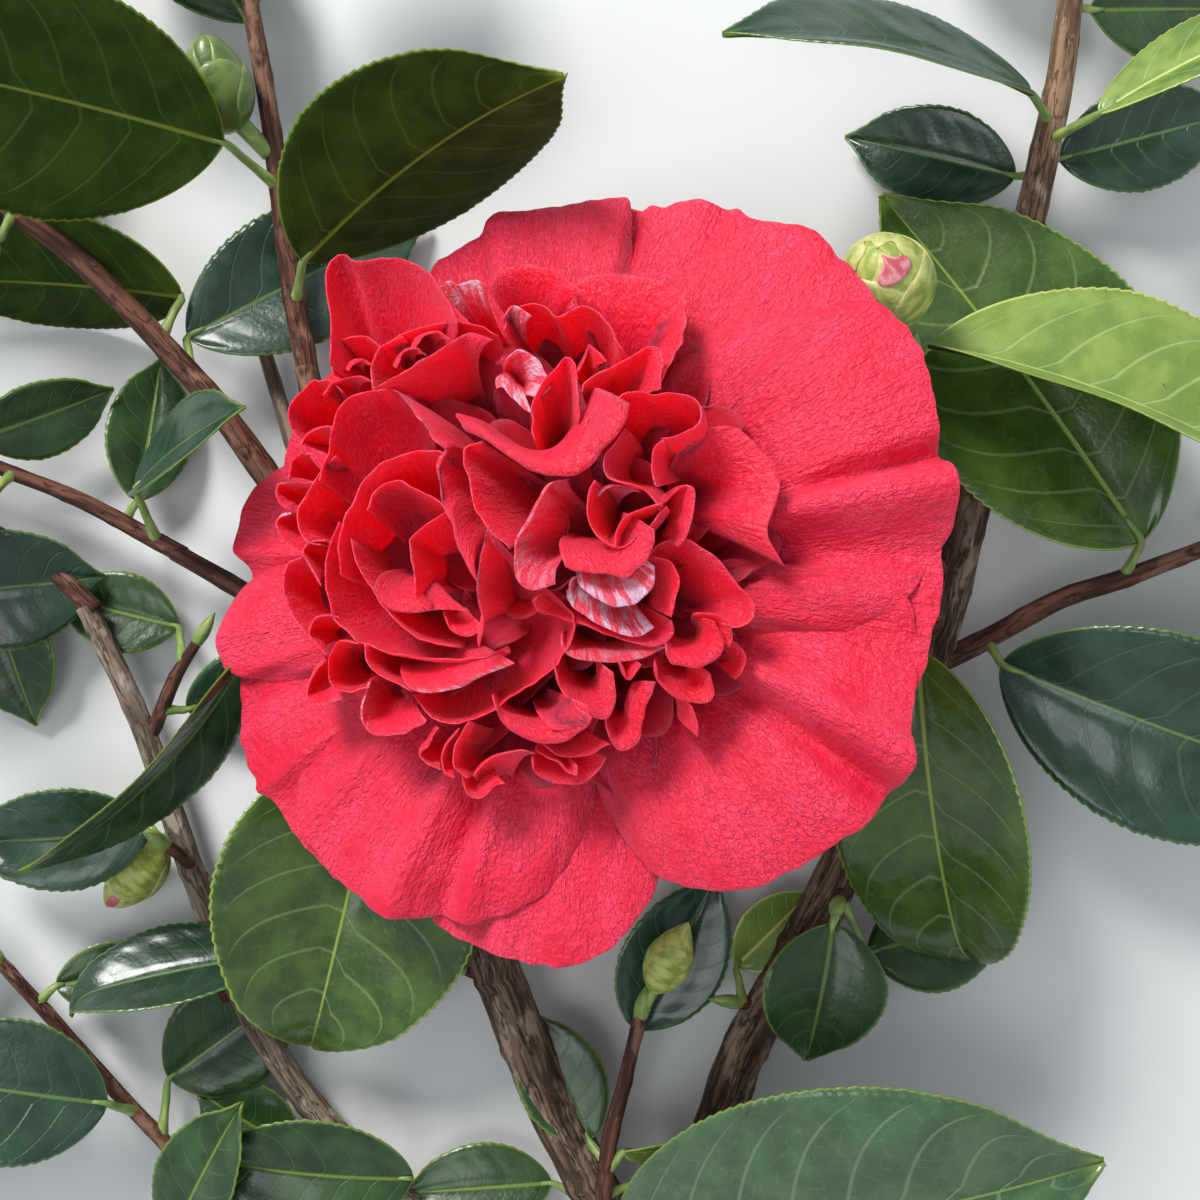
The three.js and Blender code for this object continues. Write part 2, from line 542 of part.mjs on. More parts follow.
// Height of the dome that the inner petals stand on, at a point of the bloom.
function domeHeight(x, y) {
  const distance = Math.hypot(x - DOME.middle[0], y - DOME.middle[1]);
  return DOME.foot + DOME.height * Math.sqrt(Math.max(0, 1 - (distance / (DOME.radius * 1.25)) ** 2));
}

function rosette({ middle, spread, petals, length, seed }) {
  const random = randomStream(seed);
  const parts = [];
  for (let index = 0; index < petals; index += 1) {
    const share = (index + 0.5) / petals;
    const angle = index * GOLDEN_ANGLE + 30 * random();
    const out = spread * 0.45 * Math.sqrt(share);
    const x = middle[0] * 0.86 + out * Math.cos(radians(angle));
    const y = middle[1] * 0.86 + out * Math.sin(radians(angle));
    const size = length * (0.85 + 0.25 * random());
    const shape = { length: size, width: size * (0.9 + 0.3 * random()), start: 92 - 34 * share,
      turn: -20 - 50 * share, cup: 58 - 30 * share, round: PETAL_ROUND };
    parts.push(petal({ at: [x, y, domeHeight(x, y) - 3], angle, shape }, PETALOID_CELLS, PETAL_THICKNESS));
  }
  return parts;
}

// A petal that stands up on the ring at the upper left, with its end curled over.
const UPRIGHT = { at: [-22.5, 31, -2.5], angle: 126,
  shape: { length: 28, width: 26, start: 66, turn: -60, cup: 30, round: PETAL_ROUND } };

// Small petals round the rim of the centre, drooping outward over the broad ones.
function rimPetals(count, radius) {
  const random = randomStream(29);
  const parts = [];
  for (let index = 0; index < count; index += 1) {
    const angle = (360 * (index + 0.5 * random())) / count;
    const out = radius * (0.6 + 0.08 * random());
    const x = DOME.middle[0] + out * Math.cos(radians(angle));
    const y = DOME.middle[1] + out * Math.sin(radians(angle));
    const size = 19 + 3 * random();
    const start = 52 + 10 * random();
    const shape = { length: size, width: size, start, turn: -64, cup: 26, round: PETAL_ROUND };
    parts.push(petal({ at: [x, y, domeHeight(x, y) - 3], angle, shape }, PETALOID_CELLS, PETAL_THICKNESS));
  }
  return parts;
}

function bloom() {
  const profile = [new THREE.Vector2(0, -BLOOM_DEPTH), new THREE.Vector2(7, -BLOOM_DEPTH)];
  for (let ring = 0; ring <= 4; ring += 1) {
    const distance = DOME.radius * Math.cos((ring / 4) * (Math.PI / 2));
    const height = domeHeight(DOME.middle[0] + distance, DOME.middle[1]);
    profile.push(new THREE.Vector2(ring === 4 ? 0 : distance, height - 2));
  }
  const dome = new THREE.LatheGeometry(profile, 14);
  dome.rotateX(Math.PI / 2);
  dome.applyMatrix4(bloomFrame());
  return fuse([
    solidFromGeometry(dome),
    ...guards.map(guardPetal),
    ...rosettes.flatMap(rosette),
    ...rimPetals(9, 38),
    petal(UPRIGHT, PETALOID_CELLS, PETAL_THICKNESS),
  ]);
}

// The stalk of the bloom and the green cup of scales at its end.
function bloomStalk() {
  const profile = [
    new THREE.Vector2(0, -BLOOM_DEPTH - GAP - CUP.height),
    new THREE.Vector2(CUP.bottom, -BLOOM_DEPTH - GAP - CUP.height),
    new THREE.Vector2(CUP.top * 0.85, -BLOOM_DEPTH - GAP - CUP.height * 0.45),
    new THREE.Vector2(CUP.top, -BLOOM_DEPTH - GAP),
    new THREE.Vector2(0, -BLOOM_DEPTH - GAP),
  ];
  const cup = new THREE.LatheGeometry(profile, 10);
  cup.rotateX(Math.PI / 2);
  cup.applyMatrix4(bloomFrame());
  const inCup = new THREE.Vector3(0, 0, -BLOOM_DEPTH - CUP.height * 0.6).applyMatrix4(bloomFrame());
  const stalk = limb({ path: [...STALK_PATH, inCup.toArray()], radii: STALK_RADII });
  return fuse([stalk, solidFromGeometry(cup)], [limb(limbs.main_stem, GAP)]);
}

function limbMesh(name) {
  const { clearOf = [], colour } = limbs[name];
  const cutters = clearOf.map((other) => limb(limbs[other], GAP));
  return meshFrom(name, fuse([limb(limbs[name])], cutters), colour, 0.85);
}

function massMesh(name) {
  const { stem, clearOf, leaves } = masses[name];
  const curve = new THREE.CatmullRomCurve3(stem.path.map((point) => new THREE.Vector3(...point)));
  const cutters = clearOf.map((other) => limb(limbs[other], GAP));
  const parts = [limb({ sides: MASS_STEM_SIDES, ...stem }), ...leaves.flatMap((one) => leaf(curve, one))];
  return meshFrom(name, fuse(parts, cutters), colours.leaf, 0.35);
}

const branch = new THREE.Group();
branch.add(...Object.keys(limbs).map(limbMesh));
branch.add(meshFrom('bloom_stalk', bloomStalk(), colours.bud, 0.7));
branch.add(meshFrom('bloom', bloom(), colours.petal, 0.55));
Object.entries(buds).forEach(([name, shape]) => branch.add(meshFrom(name, bud(shape), colours.bud, 0.5)));
branch.add(...Object.keys(masses).map(massMesh));

// The branch lies on the plane Z = 0 with the middle of its outline over the origin.
const box = new THREE.Box3().setFromObject(branch);
const middle = box.getCenter(new THREE.Vector3());
branch.position.set(-middle.x, -middle.y, -box.min.z);

const part = new THREE.Group();
part.add(branch);

export default part;
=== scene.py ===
"""A cut flowering camellia branch, lying on its back with its one open bloom facing up.

Lengths are millimetres until a piece is made. X runs to the right and Y up the branch as it lies, and Z
rises from the surface. Three stems part from one cut foot, boughs leave them, and each mass of leaves
grows on from its own stem.
"""
import json
import math

import bpy
import numpy as np
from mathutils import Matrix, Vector


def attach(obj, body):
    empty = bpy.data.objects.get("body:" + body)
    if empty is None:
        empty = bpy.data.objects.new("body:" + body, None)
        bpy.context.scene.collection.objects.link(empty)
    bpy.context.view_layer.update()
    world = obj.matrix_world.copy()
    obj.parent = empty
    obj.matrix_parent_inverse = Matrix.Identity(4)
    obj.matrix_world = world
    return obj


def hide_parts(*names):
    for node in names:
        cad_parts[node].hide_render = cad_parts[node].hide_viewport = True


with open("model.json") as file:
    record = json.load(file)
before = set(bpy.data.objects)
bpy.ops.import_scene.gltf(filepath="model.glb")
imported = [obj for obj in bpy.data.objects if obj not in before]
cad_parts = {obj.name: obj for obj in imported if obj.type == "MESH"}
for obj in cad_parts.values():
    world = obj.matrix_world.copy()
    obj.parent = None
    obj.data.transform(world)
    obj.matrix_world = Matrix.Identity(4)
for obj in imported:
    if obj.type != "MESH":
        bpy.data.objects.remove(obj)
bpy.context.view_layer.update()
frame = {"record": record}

# Driving dimensions.
MM = 0.001
CUT_CENTRE = np.array([11.6, -127.5, 4.4])   # middle of the cut foot, which the frame's mount places
LEAF_THICKNESS = 0.5
PETAL_THICKNESS = 0.32
TIP_PETAL_THICKNESS = 0.3                    # the petal that shows at the top of a bud
SCALE_THICKNESS = 0.5                        # the scales of a bud
CALYX_THICKNESS = 0.6                        # the scales under the bloom
STALK_RADIUS = 0.95
LEAF_FOLD = 12                               # degrees that a leaf folds up on each side of its midrib
SMALL_LEAF = 30                              # a leaf shorter than this has fewer columns
TOOTH = 1.75                                 # spacing of the teeth along a leaf's margin
INNER_SHARE = 0.87                           # how much of a bud's radius lies inside its scales
JOINT = 3.6                                  # how far a twig runs back into the limb that carries it
TWIG_RELIEF = 0.1                            # how far a twig's bark stands out
TWIG_SCARS = 9.0                             # spacing of the old leaf scars along it
BLOOM_CENTRE = np.array([-4.8, 4.8, 49.0])
BLOOM_AXIS = np.array([-0.32, 0.21, 0.92]) / np.linalg.norm([-0.32, 0.21, 0.92])
BLOOM_DEPTH = 20.0                           # from the ring of outer petals down to the foot of the bloom
BLOOM_ROOT = 4.5                             # how far from the bloom's axis its outer petals start
GOLDEN_ANGLE = 137.5

# Seeds. Each of a kind takes the next one.
LIMB_SEED = 11
MASS_SEED = 200
FILLER_SEED = 400
CENTRE_SEED = 600

# The photo's camera, square on to the branch.
CAMERA_HEIGHT = 350.0
PHOTO_SIDE = 1200
PHOTO_FOCUS = 2010.0                         # the photo's focal length in its own pixels

cut_mount = next(mount for mount in frame["record"]["mounts"] if mount["name"] == "cut_end")
SHIFT = np.array(cut_mount["pos_m"]) / MM - CUT_CENTRE


def unit(vector):
    return vector / np.maximum(np.linalg.norm(vector, axis=-1, keepdims=True), 1e-9)


def smoothstep(value, low, high):
    t = np.clip((value - low) / (high - low), 0, 1)
    return t * t * (3 - 2 * t)


class Waves:
    """A repeatable smooth noise in two coordinates: a sum of sine waves in random directions."""

    def __init__(self, seed, count=9):
        random = np.random.default_rng(seed)
        angle = random.uniform(0, 2 * math.pi, count)
        pitch = random.uniform(0.6, 1.7, count)
        self.x = pitch * np.cos(angle)
        self.y = pitch * np.sin(angle)
        self.phase = random.uniform(0, 2 * math.pi, count)

    def __call__(self, x, y):
        x = np.asarray(x)[..., None]
        y = np.asarray(y)[..., None]
        return np.sin(2 * math.pi * (x * self.x + y * self.y) + self.phase).mean(axis=-1) * 1.8


class Curve:
    """A smooth curve through points, with its fractions measured along its length."""

    def __init__(self, points, samples=240):
        points = np.asarray(points, float)
        count = len(points)
        padded = np.vstack([2 * points[0] - points[1], points, 2 * points[-1] - points[-2]])
        steps = np.maximum(np.linalg.norm(np.diff(padded, axis=0), axis=1) ** 0.5, 1e-4)
        where = np.linspace(0, count - 1, samples)
        index = np.minimum(where.astype(int), count - 2)
        t = (where - index)[:, None]
        x0, x1, x2, x3 = (padded[index + k] for k in range(4))
        d0, d1, d2 = (steps[index + k][:, None] for k in range(3))
        t1 = ((x1 - x0) / d0 - (x2 - x0) / (d0 + d1) + (x2 - x1) / d1) * d1
        t2 = ((x2 - x1) / d1 - (x3 - x1) / (d1 + d2) + (x3 - x2) / d2) * d1
        c2 = -3 * x1 + 3 * x2 - 2 * t1 - t2
        c3 = 2 * x1 - 2 * x2 + t1 + t2
        self.samples = x1 + t1 * t + c2 * t ** 2 + c3 * t ** 3
        run = np.concatenate([[0], np.cumsum(np.linalg.norm(np.diff(self.samples, axis=0), axis=1))])
        self.length = run[-1]
        self.fraction = run / run[-1]

    def __call__(self, fraction):
        return np.stack([np.interp(fraction, self.fraction, self.samples[:, k]) for k in range(3)], axis=-1)


class Mesh:
    """Parts of one piece, gathered before it is made: points, triangles, slots and painted values.

    The painted values: vein is how strongly a leaf's side veins show, or how white a petal is. edge is 1 at
    a rim, tone is the share of the lighter colour, mark runs along a leaf, run counts its side veins, and
    across and inside are its distances in millimetres from the midrib and the rim.
    """

    PAINTS = ("vein", "edge", "tone", "mark", "run", "across", "inside")

    def __init__(self):
        self.points, self.faces, self.slots, self.uv = [], [], [], []
        self.paint = {name: [] for name in self.PAINTS}
        self.size = 0

    def add(self, points, faces, slots, uv, paint):
        count = len(points)
        self.points.append(points)
        self.faces.append(faces + self.size)
        self.slots.append(np.broadcast_to(slots, len(faces)))
        self.uv.append(uv)
        for name, values in self.paint.items():
            values.append(np.broadcast_to(paint.get(name, 0.0), count))
        self.size += count

    def piece(self, name, materials, slot, replaces=()):
        faces = np.concatenate(self.faces)
        points = (np.concatenate(self.points) + SHIFT) * MM
        mesh = bpy.data.meshes.new(name)
        mesh.from_pydata(points.tolist(), [], faces.tolist())
        uv = np.concatenate(self.uv)[faces.ravel()]
        mesh.uv_layers.new(name="surface").data.foreach_set("uv", uv.ravel())
        for key, values in self.paint.items():
            painted = np.concatenate(values).astype(np.float32)
            if np.any(painted):
                mesh.attributes.new(key, "FLOAT", "POINT").data.foreach_set("value", painted)
        for material in materials:
            mesh.materials.append(material)
        mesh.polygons.foreach_set("material_index", np.concatenate(self.slots).astype(np.int32))
        mesh.polygons.foreach_set("use_smooth", np.ones(len(faces), bool))
        mesh.update()
        piece = bpy.data.objects.new(name, mesh)
        bpy.context.scene.collection.objects.link(piece)
        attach(piece, "root")
        if replaces:
            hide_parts(*replaces)


def cells(corners):
    """Two triangles for each four-cornered cell."""
    return corners[..., [[0, 1, 2], [0, 2, 3]]].reshape(-1, 3)


def grid_faces(rows, columns, wrap=False):
    """Triangles of a grid of points, rows by columns, closed round its columns where wrap is true."""
    row = np.arange(rows - 1)[:, None]
    column = np.arange(columns if wrap else columns - 1)[None, :]
    a = row * columns + column
    b = row * columns + (column + 1) % columns
    return cells(np.stack([a, b, b + columns, a + columns], axis=-1))


def sheet(mesh, middle, thickness, uv, slots=(0, 0), **paint):
    """Adds a thin closed sheet round a grid of points (rows, columns, 3), thinned towards its margin."""
    rows, columns, _ = middle.shape
    normal = unit(np.cross(np.gradient(middle, axis=1), np.gradient(middle, axis=0)))
    side = np.minimum(np.arange(columns), np.arange(columns)[::-1])[None, :]
    end = np.minimum(np.arange(rows), np.arange(rows)[::-1])[:, None]
    thin = 0.35 + 0.65 * np.minimum(1, np.minimum(side, end) / 2)
    offset = normal * (thin * thickness / 2)[..., None]
    count = rows * columns
    front = grid_faces(rows, columns)
    rim = np.concatenate([
        np.arange(columns - 1),
        np.arange(rows - 1) * columns + columns - 1,
        (rows - 1) * columns + np.arange(columns - 1, 0, -1),
        np.arange(rows - 1, 0, -1) * columns,
    ])
    after = np.roll(rim, -1)
    edge = cells(np.stack([rim + count, after + count, after, rim], axis=-1))
    faces = np.concatenate([front, front[:, ::-1] + count, edge])
    slot_of = np.concatenate([np.full(len(front), slots[0]), np.full(len(front) + len(edge), slots[1])])
    points = np.concatenate([(middle + offset).reshape(-1, 3), (middle - offset).reshape(-1, 3)])
    painted = {}
    for key, value in paint.items():
        painted[key] = np.tile(np.broadcast_to(value, (rows, columns)).ravel(), 2)
    mesh.add(points, faces, slot_of, np.tile(uv.reshape(-1, 2), (2, 1)), painted)


def rings_along(curve, rings):
    """Middles, and two directions across, of rings set along a curve without twist."""
    share = np.linspace(0, 1, rings)
    centre = curve(share)
    heading = unit(np.gradient(centre, axis=0))
    normal = np.zeros_like(centre)
    normal[0] = unit(np.cross(heading[0], [0.3, 0.2, 0.93]))
    for ring in range(1, rings):
        normal[ring] = unit(normal[ring - 1] - heading[ring] * np.dot(normal[ring - 1], heading[ring]))
    return share, centre, normal, np.cross(heading, normal)


def tube(mesh, curve, radii, sides=16, spacing=1.2, relief=None, slot=0, cap_slot=None, **paint):
    """Adds a closed tapering limb along a curve. relief(s, angle) gives how far its bark stands out."""
    rings = max(4, int(curve.length / spacing))
    share, centre, normal, binormal = rings_along(curve, rings)
    angle = np.linspace(0, 2 * math.pi, sides, endpoint=False)
    s = share * curve.length
    radius = np.interp(share, np.linspace(0, 1, len(radii)), radii)[:, None] * np.ones(sides)
    if relief is not None:
        radius = radius + relief(s[:, None], angle[None, :])
    across = np.cos(angle)[None, :, None] * normal[:, None] + np.sin(angle)[None, :, None] * binormal[:, None]
    ring_points = (centre[:, None] + radius[..., None] * across).reshape(-1, 3)
    points = np.concatenate([ring_points, centre[:1], centre[-1:]])
    around = np.arange(sides)
    beside = (around + 1) % sides
    last = (rings - 1) * sides
    wall = grid_faces(rings, sides, wrap=True)
    foot = np.stack([np.full(sides, rings * sides), beside, around], axis=-1)
    tip = np.stack([np.full(sides, rings * sides + 1), last + around, last + beside], axis=-1)
    caps = np.concatenate([foot, tip])
    ends = slot if cap_slot is None else cap_slot
    slots = np.concatenate([np.full(len(wall), slot), np.full(len(caps), ends)])
    uv = np.stack(np.broadcast_arrays(radius * np.abs(angle - math.pi), s[:, None]), axis=-1).reshape(-1, 2)
    uv = np.concatenate([uv, [[0, 0], [0, s[-1]]]]) / 100
    mesh.add(points, np.concatenate([wall, caps]), slots, uv, paint)


# The limbs, by where they run, and the masses of leaves that grow on from them.
LIMBS = dict(
    main_stem=dict(
        path=[[11.6, -127.5, 4.4], [6.5, -115, 6], [0, -102, 8], [-9.3, -83, 10], [-16.8, -63.7, 13],
            [-24.9, -43.2, 16], [-32.2, -26.4, 18], [-36, -13, 19]],
        radii=[4.3, 3.1], bark="brown_bark", slot="brown_bark", relief=0.3, scars=13.0,
    ),
    right_stem=dict(
        path=[[8.5, -120, 5.2], [14.5, -108, 6.5], [19.6, -90.2, 8], [24.6, -76.3, 9], [33.7, -59, 11],
            [41.1, -43.6, 13], [50.1, -23.4, 14], [58.3, 1.7, 15], [64.2, 28.3, 15], [68.6, 49.9, 15],
            [71.6, 63, 15]],
        radii=[3.9, 2.9], bark="brown_bark", slot="brown_bark", relief=0.26, scars=19.0,
    ),
    left_stem=dict(
        path=[[7.6, -117.5, 5.6], [-8, -114.5, 5], [-25.7, -108, 5], [-46.2, -90.7, 5], [-59, -71.9, 6],
            [-68.5, -49.6, 6.5], [-78.3, -20.4, 8], [-87.2, -1, 9]],
        radii=[2.5, 1.8], bark="grey_bark", slot="grey_bark", relief=0.13, scars=15.0,
    ),
    bough_upper_left=dict(
        path=[[-33.5, -21.5, 18.4], [-39.5, -5.5, 19.5], [-46.5, 8, 20], [-54.3, 19.8, 19],
            [-63.4, 32.2, 18]],
        radii=[2.5, 2.1], bark="twig", slot="twig_bark", relief=0.1, scars=14.0,
    ),
    bough_top=dict(
        path=[[-36.4, -12.4, 19.2], [-39, 3, 21], [-44.5, 21.3, 19.5], [-48.6, 38.5, 17.6]],
        radii=[2.3, 1.9], bark="twig", slot="twig_bark", relief=0.1, scars=14.0,
    ),
    twig_left=dict(
        path=[[-35.6, -14, 18.8], [-44, -8, 15.6], [-60.2, 1.7, 13.2], [-71.5, 8.2, 12.6]],
        radii=[1.8, 1.5], bark="twig", slot="twig_bark", relief=0.08, scars=13.0,
    ),
    bare_spur=dict(
        path=[[-44, 3.5, 19.6], [-50.5, 22, 10], [-55, 35, 7], [-58.8, 47.5, 6]],
        radii=[1.5, 1.2], bark="grey_bark", slot="grey_bark", relief=0.08, scars=11.0,
    ),
)


def leaf_at(at, reach, heading, rise, roll, length, width, bend, look="dark", **more):
    """One leaf of MASSES: its place along the stem, the step from there out to its foot, its heading, rise
    and roll in degrees, its size, how far it bends along its length, and its look."""
    return dict(at=at, reach=reach, heading=heading, rise=rise, roll=roll, length=length, width=width,
                bend=bend, look=look, **more)


MASSES = dict(
    foliage_top_left=dict(
        stem=dict(path=[[-48.9, 40.6, 17.4], [-51.4, 54.7, 17], [-54.3, 79, 19], [-57.3, 98.2, 21],
            [-58.3, 106, 22]], radii=[1.9, 1.5]),
        leaves=[
            leaf_at(0.13, (2.4, 6, 7), 26, 36, -125, 60, 36, -34),
            leaf_at(0.42, (-7.5, 5.5, 9), 171, 22, 142, 62, 41, -16, fold=-9),
            leaf_at(0.93, (-4, 3, 3), 151, 10, 20, 36, 20, -30),
            leaf_at(0.98, (3, 3, 3), 40, 4, -30, 34, 19, -30),
            leaf_at(0.8, (-2, 3, -4), 125, -18, 10, 40, 22, -18),
        ],
    ),
    foliage_upper_left=dict(
        stem=dict(path=[[-64.6, 33.8, 18], [-77.6, 47.9, 18], [-88.9, 58.5, 19], [-98.5, 64.9, 20],
            [-105.7, 69, 21.6]], radii=[2.1, 1.6]),
        leaves=[
            leaf_at(0.08, (-1.5, 7, -4.6), 29, -14, -4, 46, 24, -16, look="blue"),
            leaf_at(0.22, (3, 8, -3), 176, -4, 128, 47, 27, -14),
            leaf_at(0.8, (-1, -5, 4), -160, 22, -24, 38, 21, -26),
            leaf_at(0.98, (-3, 4, 3), 149, 20, 16, 32, 18, -30),
            leaf_at(0.86, (-2, 5, -3), 96, -22, -10, 34, 20, -16),
        ],
    ),
    foliage_left=dict(
        stem=dict(path=[[-73, 9.1, 12.5], [-87.4, 16.8, 12], [-100.9, 22.2, 12], [-109, 25.4, 12.6]],
            radii=[1.5, 1.2]),
        leaves=[
            leaf_at(0.04, (-2, 8.5, 7), 28, 40, -50, 32, 17, -20, look="blue"),
            leaf_at(0.2, (1, 4, -5), 84, -14, 20, 26, 15, -16),
            leaf_at(0.72, (-2, -4, 5), -152, 20, 30, 34, 19, -26),
            leaf_at(0.97, (-4, 1, 1), 165, -18, -10, 32, 18, -16),
            leaf_at(0.84, (-1, 4, 2), 22, -12, 34, 24, 14, -14),
        ],
    ),
    foliage_left_low=dict(
        stem=dict(path=[[-88.2, 0.6, 9], [-95, 7, 9], [-101.8, 11, 9], [-108, 14.4, 9]], radii=[1.7, 1.3]),
        leaves=[
            leaf_at(0.8, (-9, -11, 3), 6, -9, 16, 29, 21, -16, look="blue"),
            leaf_at(0.98, (-3, 0, 0), -152, -8, -20, 33, 19, -20, look="blue"),
            leaf_at(0.6, (-5, -7, -1.6), -74, -11, 8, 26, 17, -8),
        ],
    ),
    foliage_under_bloom=dict(
        stem=dict(path=[[-34.2, -19, 18.6], [-41, -17, 21.5], [-48, -12.5, 22]], radii=[1.5, 1.2]),
        leaves=[
            leaf_at(0.3, (3, -5, -1), -104, -7, -6, 58, 44, -22, cup=14, curl=-52, look="olive"),
            leaf_at(0.98, (-9, 5, 2.5), -136, -3, -72, 54, 22, -40),
        ],
    ),
    foliage_stem_side=dict(
        stem=dict(path=[[-17.2, -62.6, 12.9], [-20.5, -63, 11.5], [-23.5, -62, 10.5]], radii=[1.2, 1.1]),
        leaves=[
            leaf_at(0.95, (-3, 3, -1), 128, -4, 4, 38, 20, -10),
        ],
    ),
    foliage_left_middle=dict(
        stem=dict(path=[[-76, -22, 7.9], [-71.6, -12.6, 9.6], [-67.4, -6, 10.6]], radii=[1.3, 1]),
        leaves=[
            leaf_at(0.7, (-2, 6, -5.2), 166, -3, 4, 22, 14, -8),
            leaf_at(0.2, (4, 0, -1.5), 22, -2, 10, 26, 14, -12, look="blue"),
        ],
    ),
    foliage_low_left=dict(
        stem=dict(path=[[-69.6, -45.8, 6.7], [-71, -43, 10.6], [-73.6, -40.6, 12.8]], radii=[1.3, 1.1]),
        leaves=[
            leaf_at(0.96, (-2, 2.5, -0.4), -176, 0, -12, 32, 18, -22, wave=1.2, look="blue"),
        ],
    ),
    foliage_low_middle=dict(
        stem=dict(path=[[-61.6, -66.4, 6.1], [-57, -64, 7.6], [-53.6, -61, 9.4]], radii=[1.3, 1.1]),
        leaves=[
            leaf_at(0.95, (-1, 1.6, 3.6), -168, 2, 48, 38, 17, -18, curl=-80, look="blue"),
        ],
    ),
    foliage_foot_left=dict(
        stem=dict(path=[[-38, -98, 5], [-42.6, -97.5, 5], [-47, -97.6, 6]], radii=[1.4, 1.1]),
        leaves=[
            leaf_at(0.5, (11, 0, 6), 174, 2, -12, 36, 22, -24),
            leaf_at(0.9, (-6, 3, -1), 150, -2, 8, 20, 14, -16),
        ],
    ),
    foliage_bottom_left=dict(
        stem=dict(path=[[-28, -107, 5], [-46, -108, 4.6], [-64.2, -102.7, 5], [-76.8, -90.4, 6],
            [-91.9, -73.2, 7], [-103, -60, 9]], radii=[1.6, 1.2]),
        leaves=[
            leaf_at(0.62, (-3, 3, 7), 169, 10, 10, 36, 24, -24, look="blue"),
            leaf_at(0.55, (1, 10, -1.4), 36, -4, 3, 27, 20, -10),
            leaf_at(0.4, (-8, -7, 3), 62, 20, -24, 32, 16, -16),
            leaf_at(0.98, (-4, 3, 2), 150, 12, 20, 30, 17, -24),
            leaf_at(0.88, (3, 3, 0), 8, -12, -6, 21, 12, -12),
            leaf_at(0.78, (-5, -2, -2), -140, -4, 22, 34, 20, -16),
        ],
    ),
    foliage_bottom=dict(
        stem=dict(path=[[6, -114, 6.2], [1, -104, 12], [1.4, -92, 14], [4.2, -80, 14.6], [7, -68, 16]],
            radii=[1.6, 1.2]),
        leaves=[
            leaf_at(0.46, (-3, 3, -2), 116, -6, 10, 24, 15, -12),
            leaf_at(0.42, (3, 4, 1), 18, 2, 56, 24, 12, -40, look="light"),
            leaf_at(0.34, (6, 2, -3), 4, -6, 10, 17, 10, -12),
            leaf_at(0.3, (-9, 2, -7), -176, 0, 16, 26, 15, -12),
            leaf_at(0.8, (1, 5, -5.5), 62, 2, 6, 30, 18, -14, look="blue"),
        ],
    ),
    foliage_bottom_right=dict(
        stem=dict(path=[[9.4, -122, 4.8], [4.6, -118, 9.6], [-1, -112, 13]], radii=[1.6, 1.4]),
        leaves=[
            leaf_at(0.9, (3, 6, 2), 13, 11, 10, 82, 52, -34, look="netted"),
        ],
    ),
    foliage_foot_right=dict(
        stem=dict(path=[[15.2, -106.6, 6.7], [24, -108, 6], [33, -110, 5]], radii=[1.5, 1.2]),
        leaves=[
            leaf_at(0.9, (4, -1, -1), -12, -3, 10, 46, 26, -12),
        ],
    ),
    foliage_right_low=dict(
        stem=dict(path=[[38.4, -49.6, 12], [40, -49, 17], [39, -50, 20.6]], radii=[1.4, 1.2]),
        leaves=[
            leaf_at(0.97, (-1, -3, 1), -100, -8, -8, 24, 21, -26),
            leaf_at(0.4, (6, -11, -8), 14, -5, 4, 26, 19, -10),
        ],
    ),
    foliage_low_right=dict(
        stem=dict(path=[[29.4, -66.4, 10], [25.4, -68, 11.4], [22.6, -67.6, 12]], radii=[1.2, 1]),
        leaves=[
            leaf_at(0.8, (-1, 6, -2), 44, -6, 6, 18, 12, -12, look="light"),
        ],
    ),
    foliage_under_right=dict(
        stem=dict(path=[[56.4, -4.6, 14.8], [52, -4, 24], [48.5, -6.8, 30]], radii=[1.5, 1.2]),
        leaves=[
            leaf_at(0.92, (1.5, -2, 2), -78, -20, 30, 64, 33, -36, curl=-60, look="olive"),
        ],
    ),
    foliage_right=dict(
        stem=dict(path=[[54, -11.5, 14.6], [64.4, -6.7, 13.6], [76.4, 0, 15], [86.7, 3.6, 17],
            [98.5, 8.2, 19], [107, 12, 21]], radii=[1.9, 1.4]),
        leaves=[
            leaf_at(0.62, (2, 6, 3.6), 126, -4, 6, 72, 43, -22, look="olive"),
            leaf_at(0.2, (2, -4, 3), -20, 4, 16, 66, 34, -28, look="blue"),
            leaf_at(0.98, (3, -2, -1), -34, -32, -8, 34, 19, -16),
            leaf_at(0.9, (0, 5, 1), 48, 10, 14, 32, 18, -22),
        ],
    ),
    foliage_upper_right=dict(
        stem=dict(path=[[58.6, 3, 15], [49.5, 13, 22], [46.6, 26, 28], [49, 38.5, 31.5]], radii=[1.8, 1.5]),
        leaves=[
            leaf_at(0.97, (3.4, 3, 0), -25, 12, -50, 72, 36, -30, fold=26, look="light"),
        ],
    ),
    foliage_top_right=dict(
        stem=dict(path=[[72.1, 65.2, 14.6], [74.2, 75, 15], [76.2, 86.1, 17], [77.7, 100.5, 19],
            [79.4, 112, 20]], radii=[2.7, 1.9], bark="tan_bark"),
        leaves=[
            leaf_at(0.3, (-5, 3, 8), 174, 16, 56, 54, 28, -30, look="blue"),
            leaf_at(0.24, (6, 2, 11), 22, 16, -56, 44, 19, -22, look="light"),
            leaf_at(0.16, (4, 2, -5), 16, -8, 10, 32, 18, -14, look="blue"),
            leaf_at(0.12, (-3, 1, -5), 164, -12, -10, 30, 17, -14, look="blue"),
            leaf_at(0.97, (1, 4, 1), 60, -4, 14, 34, 19, -26),
            leaf_at(0.9, (-4, 3, 0), 136, -12, -14, 34, 19, -22),
            leaf_at(0.7, (4, 0, -2), 8, -25, 10, 34, 20, -14),
        ],
    ),
)

